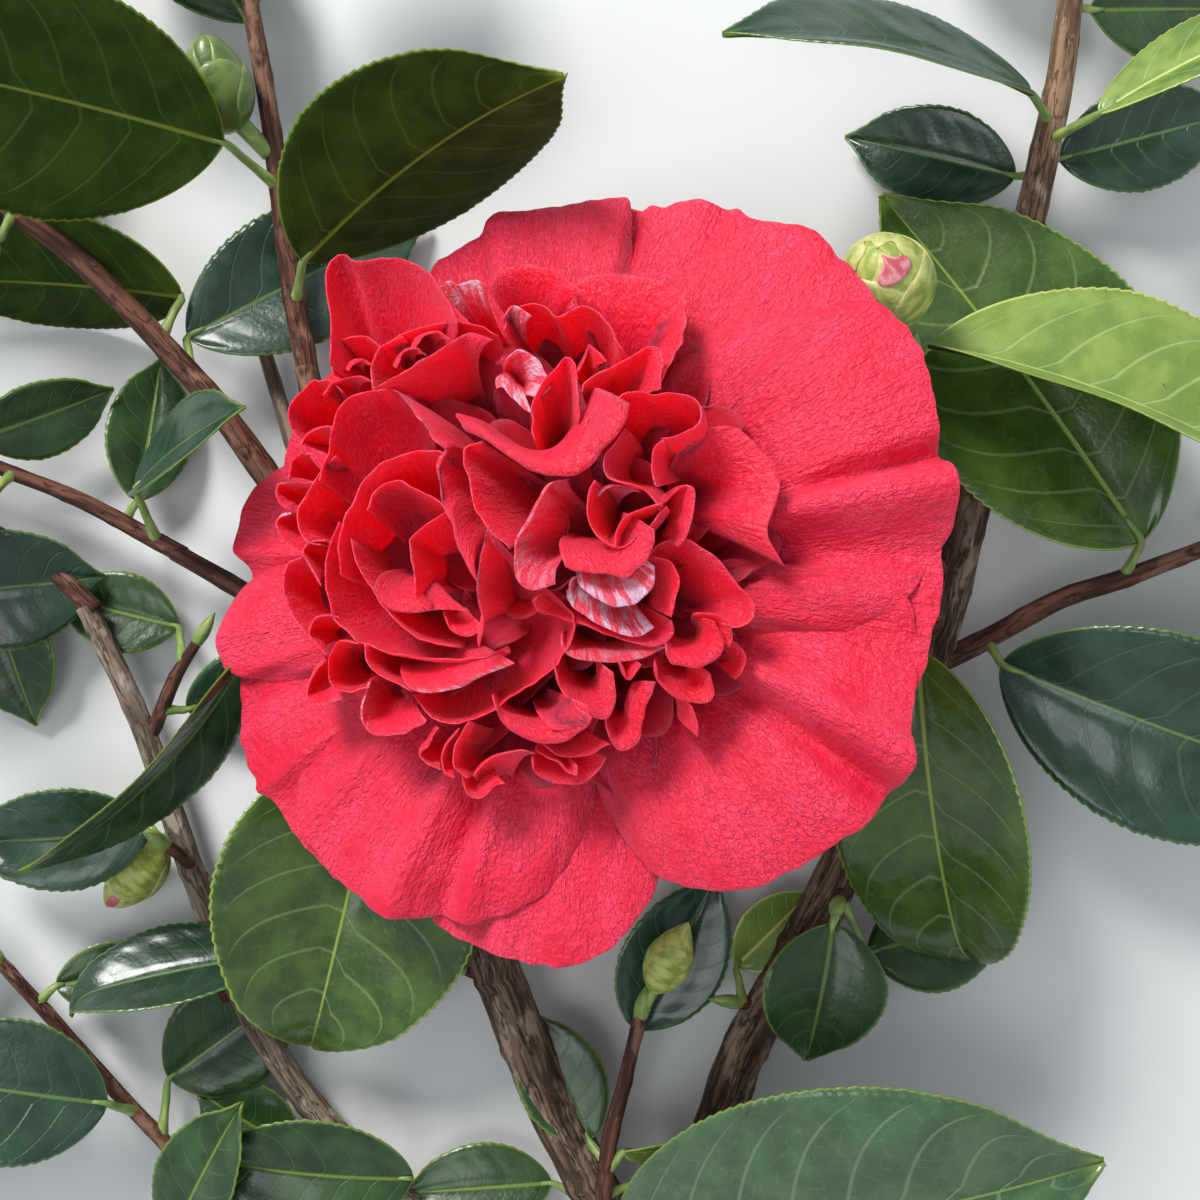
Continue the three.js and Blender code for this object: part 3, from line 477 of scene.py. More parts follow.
BUDS = dict(
    bud_top_left=dict(foot=[-54.5, 73.5, 18.7], tip=[-63.8, 90.6, 28.4], axis=[-0.19, 0.85, 0.48], radius=5.9,
        length=16.5, plump=0.6, scales=7, skin="bud_green"),
    bud_right=dict(foot=[48, 35.4, 30.6], tip=[41.5, 52.5, 48.5], axis=[-0.28, 0.42, 0.86], radius=7.8,
        length=16, plump=0.5, scales=9, petal=[0.55, -0.6, 0.6]),
    bud_low_left=dict(foot=[-72, -38.8, 7], tip=[-84.5, -52.5, 6], radius=4.7, length=15, plump=0.7, scales=7,
        showing=0.85),
    bud_bottom=dict(foot=[6.8, -69, 15.9], tip=[14.4, -52.8, 20.5], radius=3.8, length=14, plump=0.9,
        scales=9),
)

BLOOM_STALK = dict(path=[[-24.4, -44.4, 15.8], [-13, -28, 17.5], [-2, -9.6, 22]],
                   radii=[2.2, 2.1, 2.2, 2.6], relief=0.08, scars=7.0, seed=71)


# Blades: leaves and petals are one rule, a strip of given length that bends along it and cups across it.
def leaf_outline(v):
    """Half width of a leaf along its length: widest before the middle, drawn out to a point."""
    belly = np.sin(np.pi * np.minimum(0.999, v) ** 0.86) ** 0.72
    return np.maximum(belly * (1 - 0.4 * smoothstep(v, 0.78, 1)), 0.03)


def petal_outline(v, widest=0.68, claw=0.28):
    """Half width of a petal along its length: a narrow claw, widest two thirds up, and a round end."""
    rising = claw + (1 - claw) * np.sin(np.minimum(v / widest, 1) * (np.pi / 2))
    return np.where(v < widest, rising, np.cos(np.clip((v - widest) / (1 - widest), 0, 1) * 0.78))


def spine(shape, along):
    """Where a blade's middle line runs, and its slope: an even bend, and a curl near its tip."""
    share = np.linspace(0, 1.1, 221)
    curl = shape.get("curl", 0) * smoothstep(share, 0.72, 1.1)
    slope = np.radians(shape["start"] + shape["turn"] * share + curl)
    step = shape["length"] * (share[1] - share[0])
    y = np.concatenate([[0], np.cumsum(np.cos(slope))[:-1] * step])
    z = np.concatenate([[0], np.cumsum(np.sin(slope))[:-1] * step])
    return np.interp(along, share, y), np.interp(along, share, z), np.interp(along, share, slope)


def blade(shape, u, v, relief=0.0, spread=0.0):
    """Points of a blade's middle surface: y along it, x across it, z out of its upper face."""
    y, z, here = spine(shape, v * (1 - shape.get("round", 0) * u * u * v * v))
    half = (shape["width"] / 2) * shape["outline"](v) + spread
    arc = math.radians(shape.get("cup", 0)) or 1e-6
    x = half * np.sin(arc * u) / arc
    fold = math.tan(math.radians(shape.get("fold", 0)))
    lift = half * (1 - np.cos(arc * u)) / arc + half * np.abs(u) * fold
    lift = lift + shape.get("wave", 0) * np.sin(np.pi * 1.5 * u) * v * v + relief
    return np.stack([x, y - lift * np.sin(here), z + lift * np.cos(here)], axis=-1)


def heading_axes(heading, rise, roll):
    """Axes of a blade whose y axis has this heading and rise, and whose x axis is level before the roll."""
    turn, lift, tip = (math.radians(angle) for angle in (heading, rise, roll))
    y = np.array([math.cos(lift) * math.cos(turn), math.cos(lift) * math.sin(turn), math.sin(lift)])
    level = np.array([math.sin(turn), -math.cos(turn), 0.0])
    up = np.cross(level, y)
    x = level * math.cos(tip) - up * math.sin(tip)
    return np.stack([x, y, np.cross(x, y)])


def grid(rows, columns):
    """Coordinates across (-1 to 1) and along (0 to 1) a blade."""
    return np.meshgrid(np.linspace(-1, 1, columns), np.linspace(0, 1, rows))


def teeth_of(length):
    """How many teeth a leaf of this length has along each margin."""
    return max(6, round(length / TOOTH))


def leaf_surface(shape, u, v, random):
    """Relief and margin teeth of a leaf blade in millimetres, and what places its veins and its rim."""
    length = shape["length"]
    half = (shape["width"] / 2) * leaf_outline(v)
    pairs = 5.5 + length / 24
    run = (v - 0.12 * np.abs(u) - 0.13 * np.abs(u) ** 4) * pairs + 0.25 * np.sign(u)
    reach = (1 - smoothstep(np.abs(u), 0.72, 0.98)) * smoothstep(v, 0.03, 0.1)
    reach = reach * (1 - smoothstep(v, 0.86, 0.98))
    midrib = np.exp(-(u * half / (0.75 - 0.45 * v)) ** 2)
    quilt = 0.5 - 0.5 * np.cos(2 * np.pi * run)
    ripple = Waves(int(random.integers(1 << 30)))
    relief = -0.32 * midrib + 0.0016 * length * quilt * reach * smoothstep(np.abs(u), 0.05, 0.4)
    relief = relief + (0.25 + length / 140) * ripple(u * 0.9, v * length / 38) * smoothstep(np.abs(u), 0.1, 1)
    saw = (v * teeth_of(length)) % 1
    height = 0.42 * min(1, length / 45) * smoothstep(v, 0.1, 0.25) * (1 - smoothstep(v, 0.93, 1))
    spread = height * (saw - 0.55) * smoothstep(np.abs(u), 0.82, 1)
    painted = dict(run=run, vein=reach, across=u * half / (1 - 0.55 * v),
                   inside=np.minimum((1 - np.abs(u)) * half, (1 - v) * length * 0.5))
    return relief, spread, painted


def add_leaf(blades, stalks, curve, leaf, looks, random):
    """Adds one leaf on its stalk, grown from a mass's stem."""
    root = curve(leaf["at"])
    foot = root + np.array(leaf["reach"])
    axes = heading_axes(leaf["heading"], leaf["rise"], leaf["roll"])
    shape = dict(start=-leaf["bend"] / 2, turn=leaf["bend"], fold=LEAF_FOLD, outline=leaf_outline) | leaf
    columns = 13 if leaf["length"] < SMALL_LEAF else 21
    u, v = grid(teeth_of(leaf["length"]) * 4 + 1, columns)
    u = np.sign(u) * np.abs(u) ** 0.85
    relief, spread, painted = leaf_surface(shape, u, v, random)
    points = blade(shape, u, v, relief, spread) @ axes + foot
    half = (shape["width"] / 2) * leaf_outline(v)
    uv = np.stack([u * half, v * leaf["length"]], axis=-1) / 100 + random.uniform(0, 5, 2)
    sheet(blades, points, LEAF_THICKNESS, uv, slots=(looks.index(leaf["look"]), len(looks)),
          tone=random.uniform(0, 1), mark=v, **painted)
    inside = blade(shape, np.array(0.0), np.array(0.07)) @ axes + foot
    stalk = Curve([root, root * 0.35 + foot * 0.65 + [0, 0, 0.3], foot, inside], samples=60)
    radii = [STALK_RADIUS * 1.25, STALK_RADIUS * 0.8, STALK_RADIUS * 0.75, 0.35]
    tube(stalks, stalk, radii, sides=8, spacing=0.9, slot=1)


def bark_relief(seed, size, scars):
    """How a limb's bark stands out: cracked ridges along it, and a low ring at each old leaf scar."""
    ridges = Waves(seed)
    lumps = Waves(seed + 1)

    def relief(s, angle):
        x = np.cos(angle)
        y = np.sin(angle)
        ridged = 1 - 2 * np.abs(ridges(x * 1.9 + s / 41, y * 1.9 + s / 53))
        uneven = lumps(x * 0.35 + s / 17, y * 0.35 - s / 23)
        ring = np.exp(-((s % scars - scars / 2) / 0.9) ** 2)
        ring = ring * np.clip(0.6 + 0.6 * np.cos(angle - s / 7), 0, 1)
        return size * (0.5 * ridged + 0.8 * uneven + 1.3 * ring)

    return relief


def make_limb(name, seed):
    limb = LIMBS[name]
    mesh = Mesh()
    curve = Curve(limb["path"])
    relief = bark_relief(seed, limb["relief"], limb["scars"])
    start, end = limb["radii"]
    radii = [start, start, (start + end) / 2, end]
    tube(mesh, curve, radii, sides=28, spacing=0.7, cap_slot=1,
         relief=lambda s, angle: relief(s, angle) * smoothstep(s, 0, 9))
    mesh.piece(name + "_bark", [materials[limb["bark"]], materials["cut_wood"]], limb["slot"], [name])


def make_mass(name, seed):
    """Replaces one mass of leaves by its twig and its leaves."""
    mass = MASSES[name]
    random = np.random.default_rng(seed)
    path = np.array(mass["stem"]["path"], float)
    curve = Curve(path)
    inside = Curve([path[0] - JOINT * unit(path[1] - path[0]), *path])
    twig = Mesh()
    blades = Mesh()
    start, end = mass["stem"]["radii"]
    tube(twig, inside, [start, (start + end) / 2, end * 0.9], sides=16, spacing=0.8,
         relief=bark_relief(seed, TWIG_RELIEF, TWIG_SCARS))
    add_tip_bud(twig, curve, end, random)
    looks = sorted({leaf["look"] for leaf in mass["leaves"]})
    for leaf in mass["leaves"]:
        add_leaf(blades, twig, curve, leaf, looks, random)
    bark = materials[mass["stem"].get("bark", "twig")]
    twig.piece(name.replace("foliage", "twig"), [bark, materials["petiole"]], "twig_bark")
    blades.piece(name.replace("foliage", "leaves"),
                 [materials["leaf_" + look] for look in [*looks, "under"]], "leaf", [name])


def add_tip_bud(mesh, curve, radius, random):
    """The small pointed bud that ends a twig."""
    heading = unit(curve(1.0) - curve(0.97))
    tip = Curve([curve(1.0) + heading * along for along in (-1.5, 2, 4.6)], samples=30)
    tube(mesh, tip, [radius, radius * 1.25, radius * 0.9, 0.12], sides=10, spacing=0.5, slot=1)


def bud_swell(height, plump):
    """How wide a bud is along its height, from 0 to 1."""
    return np.sin(np.pi * np.clip(height, 0.001, 0.999) ** 0.85) ** plump


class BudFrame:
    """A bud's own axes, and points on its skin."""

    def __init__(self, bud):
        self.tip = np.array(bud["tip"], float)
        self.foot = np.array(bud["foot"], float)
        self.axis = unit(np.array(bud["axis"])) if "axis" in bud else unit(self.tip - self.foot)
        self.across = unit(np.cross(self.axis, [0.13, 0.2, 1.0]))
        self.beside = np.cross(self.axis, self.across)
        self.length = bud["length"]
        self.radius = bud["radius"] * 0.97
        self.plump = bud["plump"]

    def skin(self, height, angle, share):
        """Points at a height and an angle, where share is how far out they lie in the bud's thickness."""
        out = self.radius * bud_swell(height, self.plump) * share
        way = np.cos(angle)[..., None] * self.across + np.sin(angle)[..., None] * self.beside
        return self.tip + self.axis * (self.length * (height - 1))[..., None] + out[..., None] * way

    def down(self, share):
        """The point on the axis at a share of the length below the tip."""
        return self.tip - self.axis * self.length * share


def add_scale(mesh, place, middle, share, slot):
    """One of a bud's overlapping scales. Later ones lie further in and reach further up."""
    u, v = grid(22, 13)
    height = v * (0.6 + 0.4 * smoothstep(share + 0.18, 0, 1))
    width = math.radians(72) * np.sqrt(np.clip(1 - (v * 0.99) ** 3.2, 0, 1)) + 0.05
    points = place.skin(height, middle + u * width, 1 - 0.10 * share)
    uv = np.stack([u * place.radius, v * place.length], axis=-1) / 100 + share * 3
    edge = np.maximum(smoothstep(np.abs(u), 0.72, 1), smoothstep(v, 0.86, 1))
    sheet(mesh, points, SCALE_THICKNESS, uv, slots=(slot, slot), edge=edge)


def add_tip_petal(mesh, place, way):
    """The tip of a petal that shows at the top of a bud, on the side that way points to."""
    u, v = grid(16, 13)
    angle = math.atan2(place.beside @ way, place.across @ way) + 0.75 * u * np.sin(np.pi * (0.1 + 0.86 * v))
    points = place.skin(0.80 + 0.19 * v, angle, 0.93 + 0.1 * smoothstep(v, 0, 0.25))
    sheet(mesh, points, TIP_PETAL_THICKNESS, np.stack([u, v], axis=-1) * 0.05, slots=(1, 1))


def make_bud(name):
    """A closed bud: overlapping scales round a full inner body, on a short stalk."""
    bud = BUDS[name]
    place = BudFrame(bud)
    showing = bud.get("showing", 1)
    mesh = Mesh()
    for index in range(bud["scales"]):
        share = index / bud["scales"]
        add_scale(mesh, place, math.radians(GOLDEN_ANGLE * index), share, 1 if share >= showing else 0)
    if "petal" in bud:
        add_tip_petal(mesh, place, bud["petal"])
    between = place.foot * 0.5 + place.tip * 0.5 - place.axis * place.length * 0.35
    stalk = Curve([place.foot, between, place.down(0.72)], samples=60)
    tube(mesh, stalk, [bud["radius"] * share for share in (0.24, 0.25, 0.34)], sides=12, spacing=0.6, slot=2)
    inner = Curve([place.down(0.9), place.down(0.4), place.down(0.01)], samples=40)
    filled = place.radius * INNER_SHARE * bud_swell(np.linspace(0.1, 0.99, 24), bud["plump"])
    tube(mesh, inner, filled, sides=24, spacing=0.25, slot=1 if showing < 1 else 0)
    skin = materials[bud.get("skin", "bud_scale")]
    mesh.piece(name + "_scales", [skin, materials["bud_petal"], materials["petiole"]], "bud_scale", [name])


# The bloom, in its own frame: x to the right, y up the branch, z along its axis.
BLOOM_X = unit(np.array([1.0, 0, 0]) - BLOOM_AXIS * BLOOM_AXIS[0])
BLOOM_AXES = np.stack([BLOOM_X, np.cross(BLOOM_AXIS, BLOOM_X), BLOOM_AXIS])


def from_bloom(points):
    return points @ BLOOM_AXES + BLOOM_CENTRE


def petal_axes(angle):
    """Axes of a petal in the bloom's frame, that grows out at an angle round the bloom's axis."""
    turn = math.radians(angle)
    y = np.array([math.cos(turn), math.sin(turn), 0])
    x = np.array([math.sin(turn), -math.cos(turn), 0])
    return np.stack([x, y, np.cross(x, y)])


def add_petal(mesh, at, angle, shape, seed):
    """Adds a small petal by the blade rule, with a ruffled and uneven end."""
    u, v = grid(12, 10)
    swell = Waves(seed)
    uneven = Waves(seed + 2)
    relief = 0.3 * swell(u * 0.9, v * 0.9) * v ** 2
    spread = 0.5 * uneven(u * 0.3, v * 2.4) * smoothstep(np.abs(u), 0.7, 1) * smoothstep(v, 0.2, 0.5)
    middle = blade(shape, u, v * (1 + 0.006 * uneven(u * 1.5, v * 0) * v), relief, spread)
    points = from_bloom(middle @ petal_axes(angle) + np.array(at, float))
    half = (shape["width"] / 2) * petal_outline(v)
    inside = np.minimum((1 - np.abs(u)) * half, (1 - v) * shape["length"])
    uv = np.stack([u, v * shape["length"] / 60], axis=-1) * 0.5 + seed * 0.37
    # The edge paint lays a painted highlight along the petal's rim.
    sheet(mesh, points, PETAL_THICKNESS, uv, edge=1 - smoothstep(inside, 0.1, 0.9), tone=(seed * 0.618) % 1)


# A petal whose free edge shows is placed by that edge, in the photo's pixels, and runs down to a root.
def seen_at(px, py, height):
    """The point in the bloom's frame that the photo shows at a pixel, at a height along the bloom's axis."""
    middle = PHOTO_SIDE / 2
    ray = np.array([(px - middle) / PHOTO_FOCUS, (middle - py) / PHOTO_FOCUS, -1.0])
    eye = np.array([0, 0, CAMERA_HEIGHT]) - BLOOM_CENTRE
    reach = (height - eye @ BLOOM_AXIS) / (ray @ BLOOM_AXIS)
    return BLOOM_AXES @ (eye + ray * reach)


def painted_white(patch, u, v):
    """How white a petal is where its patch lies: strength, first and last u, and the v where it begins."""
    strength, first, last, begin = patch
    across = smoothstep(u, first - 0.15, first + 0.1) * (1 - smoothstep(u, last - 0.1, last + 0.15))
    return strength * across * smoothstep(v, begin, begin + 0.3)


def add_hung_petal(mesh, edge, start, hang, petal, rows, seed, ruffle, crinkle):
    """A petal between its free edge and its root. hang gives the two handles of the curve that joins them,
    each as a share of the way outward and a share of the rise. A fold is a pixel of the edge that it meets,
    its reach to either side and its height in millimetres, and the share of the length where it begins."""
    columns = len(edge)
    flat = (edge - start) * [1, 1, 0]
    tall = (edge - start) * [0, 0, 1]
    low = start + flat * hang[0] + tall * hang[1]
    high = start + flat * hang[2] + tall * hang[3]
    u, v = grid(rows, columns)
    v = 1 - (1 - v) ** 1.4
    t = v[:, :1, None]
    middle = start * (1 - t) ** 3 + 3 * low * t * (1 - t) ** 2 + 3 * high * t * t * (1 - t) + edge * t ** 3
    normal = unit(np.cross(np.gradient(middle, axis=1), np.gradient(middle, axis=0)))
    width = np.linalg.norm(np.diff(edge, axis=0), axis=1).sum() / 2
    length = np.linalg.norm(np.diff(middle[:, columns // 2], axis=0), axis=1).sum()
    swell = Waves(seed)
    fine = Waves(seed + 1, 14)
    relief = ruffle * swell(u * width / 34, v * length / 30) * smoothstep(v, 0.1, 1)
    relief = relief + crinkle * fine(u * width / 4.4, v * length / 12) * smoothstep(v, 0.2, 0.5)
    for px, py, reach, depth, begin in petal.get("folds", ()):
        at = u[0, np.linalg.norm(edge - seen_at(px, py, edge[:, 2].mean()), axis=1).argmin()]
        relief = relief + depth * np.exp(-((u - at) * width / reach) ** 2) * smoothstep(v, begin, begin + 0.4)
    notch = 0.35 * fine(u * width / 5, v * 0) * smoothstep(v, 0.88, 1)
    points = from_bloom(middle + normal * relief[..., None] + unit(flat) * notch[..., None])
    uv = np.stack([u * width, v * length], axis=-1) / 100 + seed * 0.37
    inside = np.minimum((1 - np.abs(u)) * width, (1 - v) * length)
    white = painted_white(petal["white"], u, v) if "white" in petal else 0.0
    # The edge paint lays the painted highlight along the petal's rim.
    edge_highlight = 1 - smoothstep(inside, 0.05, 0.4)
    sheet(mesh, points, PETAL_THICKNESS, uv, edge=edge_highlight, tone=petal.get("tone", 0.0), vein=white)


# The broad outer petals. Each springs from the foot of the bloom, bows up and out, and droops to its edge.
GUARD_EDGE = -5.2                            # height of an outer petal's edge
GUARD_FOOT = 3.6                             # half width of an outer petal where it starts
GUARD_SET = 1.2                              # how far above the foot of the bloom it starts
GUARD_STEP = 0.85                            # spacing of its columns along its edge
GUARD_ROWS = 60
GUARD_RUFFLE = 0.7
GUARD_CRINKLE = 0.14
GUARD_HANG = (0.236, 1.2, 0.655, 1.5)
GUARDS = {
    "top_left": dict(
        lift=0.8, folds=[(546, 205, 3, -0.9, 0.5), (493, 222, 3, 0.8, 0.4)],
        rim=[(470, 345), (440, 300), (428, 272), (455, 252), (484, 236), (493, 222), (501, 214), (524, 211),
            (546, 205), (569, 204), (600, 199), (628, 198), (633, 212), (634, 240), (636, 280), (630, 330)],
    ),
    "top": dict(
        lift=-0.6, folds=[(640, 203, 1.6, -1.8, 0.5), (728, 205, 1.8, -1.6, 0.7)],
        rim=[(600, 320), (600, 250), (614, 215), (632, 203), (665, 204), (692, 199), (715, 201), (736, 207),
            (748, 216), (780, 223), (816, 232), (835, 253), (862, 282), (876, 302), (872, 330), (850, 370)],
    ),
    "right": dict(
        lift=1.2, folds=[(940, 446, 1.8, -4.2, 0.5), (952, 484, 4, 3.6, 0.2), (948, 556, 6, -3.4, 0.1)],
        rim=[(690, 345), (715, 320), (736, 309), (760, 302), (811, 304), (850, 300), (875, 299), (898, 315),
            (914, 333), (922, 350), (932, 386), (939, 422), (944, 451), (949, 471), (955, 488), (956, 519),
            (949, 544), (932, 570), (906, 600), (868, 620), (844, 634), (809, 639), (788, 643), (745, 646),
            (700, 630)],
    ),
    "right_under": dict(
        lift=-1.6,
        rim=[(850, 480), (900, 500), (930, 520), (941, 545), (943, 575), (940, 605), (932, 635), (926, 665),
            (915, 690), (860, 690)],
    ),
    "low_right": dict(
        lift=0.6, folds=[(911, 755, 4, 3.4, 0.2), (893, 795, 2.6, -4.2, 0.4), (918, 650, 6, -2.0, 0.2)],
        rim=[(800, 560), (880, 580), (908, 600), (917, 625), (920, 661), (916, 700), (909, 735), (911, 770),
            (895, 792), (876, 814), (857, 830), (836, 845), (801, 867), (761, 886), (721, 892), (689, 888),
            (662, 879), (640, 859), (619, 826), (603, 790), (600, 745)],
    ),
    "bottom": dict(
        lift=-2.2, folds=[(500, 955, 3, -0.8, 0.5), (590, 958, 3, 0.8, 0.5)],
        rim=[(430, 860), (425, 905), (440, 927), (480, 949), (530, 964), (575, 966), (612, 947), (640, 915),
            (657, 885), (650, 840)],
    ),
    "low_left": dict(
        lift=0.4, folds=[(392, 910, 3.4, -2.6, 0.2), (441, 919, 1.9, 1.8, 0.3), (472, 920, 1.8, -1.6, 0.3),
            (304, 832, 3, -1.0, 0.4)],
        rim=[(330, 690), (312, 720), (303, 745), (299, 775), (299, 805), (304, 832), (325, 862), (355, 893),
            (380, 907), (405, 915), (438, 919), (475, 920), (502, 916), (520, 908), (545, 893), (565, 868),
            (582, 838), (600, 792), (596, 745)],
    ),
    "left": dict(
        lift=-1.2, folds=[(262, 790, 1.6, -1.6, 0.4), (236, 712, 3, 0.8, 0.4)],
        rim=[(300, 640), (260, 660), (240, 678), (236, 705), (238, 730), (245, 758), (256, 782), (272, 802),
            (290, 828), (312, 853), (345, 880), (370, 860)],
    ),
    "left_middle": dict(
        lift=0.5, folds=[(224, 634, 3, -0.9, 0.5), (243, 675, 2, -0.9, 0.5)],
        rim=[(300, 560), (262, 575), (243, 592), (231, 608), (224, 630), (221, 652), (225, 667), (245, 676),
            (262, 680), (290, 682), (312, 677), (335, 660)],
    ),
    "left_top": dict(
        lift=-1.0, folds=[(240, 555, 2, -1.4, 0.4), (238, 515, 3, 0.7, 0.4)],
        rim=[(330, 450), (285, 465), (265, 478), (245, 500), (236, 522), (236, 545), (243, 560), (249, 575),
            (244, 590), (260, 605), (300, 600)],
    ),
    "upper_left": dict(
        lift=-1.4,
        rim=[(440, 330), (375, 350), (330, 378), (300, 410), (285, 445), (282, 480), (300, 520)],
    ),
}


def guard_petals(mesh, names):
    for index, petal in enumerate(GUARDS[name] for name in names):
        rim = Curve([seen_at(px, py, GUARD_EDGE + petal["lift"]) for px, py in petal["rim"]])
        columns = max(40, round(rim.length / GUARD_STEP))
        edge = rim(np.linspace(0, 1, columns))
        way = unit(edge.mean(axis=0) * [1, 1, 0])
        root = way * BLOOM_ROOT + [0, 0, GUARD_SET - BLOOM_DEPTH]
        start = root + GUARD_FOOT * unit(np.cross([0, 0, 1.0], way)) * np.linspace(1, -1, columns)[:, None]
        if np.dot(edge[0] - edge[-1], start[0] - start[-1]) < 0:
            start = start[::-1]
        seed = 7 * len(names) + 31 * index
        add_hung_petal(mesh, edge, start, GUARD_HANG, petal, GUARD_ROWS, seed, GUARD_RUFFLE, GUARD_CRINKLE)


# The full centre of the bloom. The heights of its edges follow a dome, and each root lies deep under it.
DOME_MIDDLE = (495, 520)
DOME_REACH = 260
DOME_TOP = 13.4
DOME_FALL = 9.0
ROOT_DEPTH = 16.0
ARCH = -0.35                                 # a petal's style where its row doesn't say
FOOT_SPREAD = 0.22                           # its width at the root as a share of its edge, where not said
CENTRE_COLUMNS = 36
CENTRE_ROWS = 23
CENTRE_RUFFLE = 0.6
CENTRE_CRINKLE = 0.12


def dome_height(px, py):
    far = math.hypot(px - DOME_MIDDLE[0], py - DOME_MIDDLE[1]) / DOME_REACH
    return DOME_TOP - DOME_FALL * far ** 2


def petal_at(root, lift, rim, **more):
    """One petal of CENTRE: its root and its free edge in the photo's pixels, and the edge's lift off the
    dome. Its style is 1 for a cup and -1 for one that arches over."""
    return dict(root=root, lift=lift, rim=rim, **more)


def streaked(strength):
    """White streaks over the outer half of a petal, from side to side."""
    return (strength, -1, 1, 0.5)


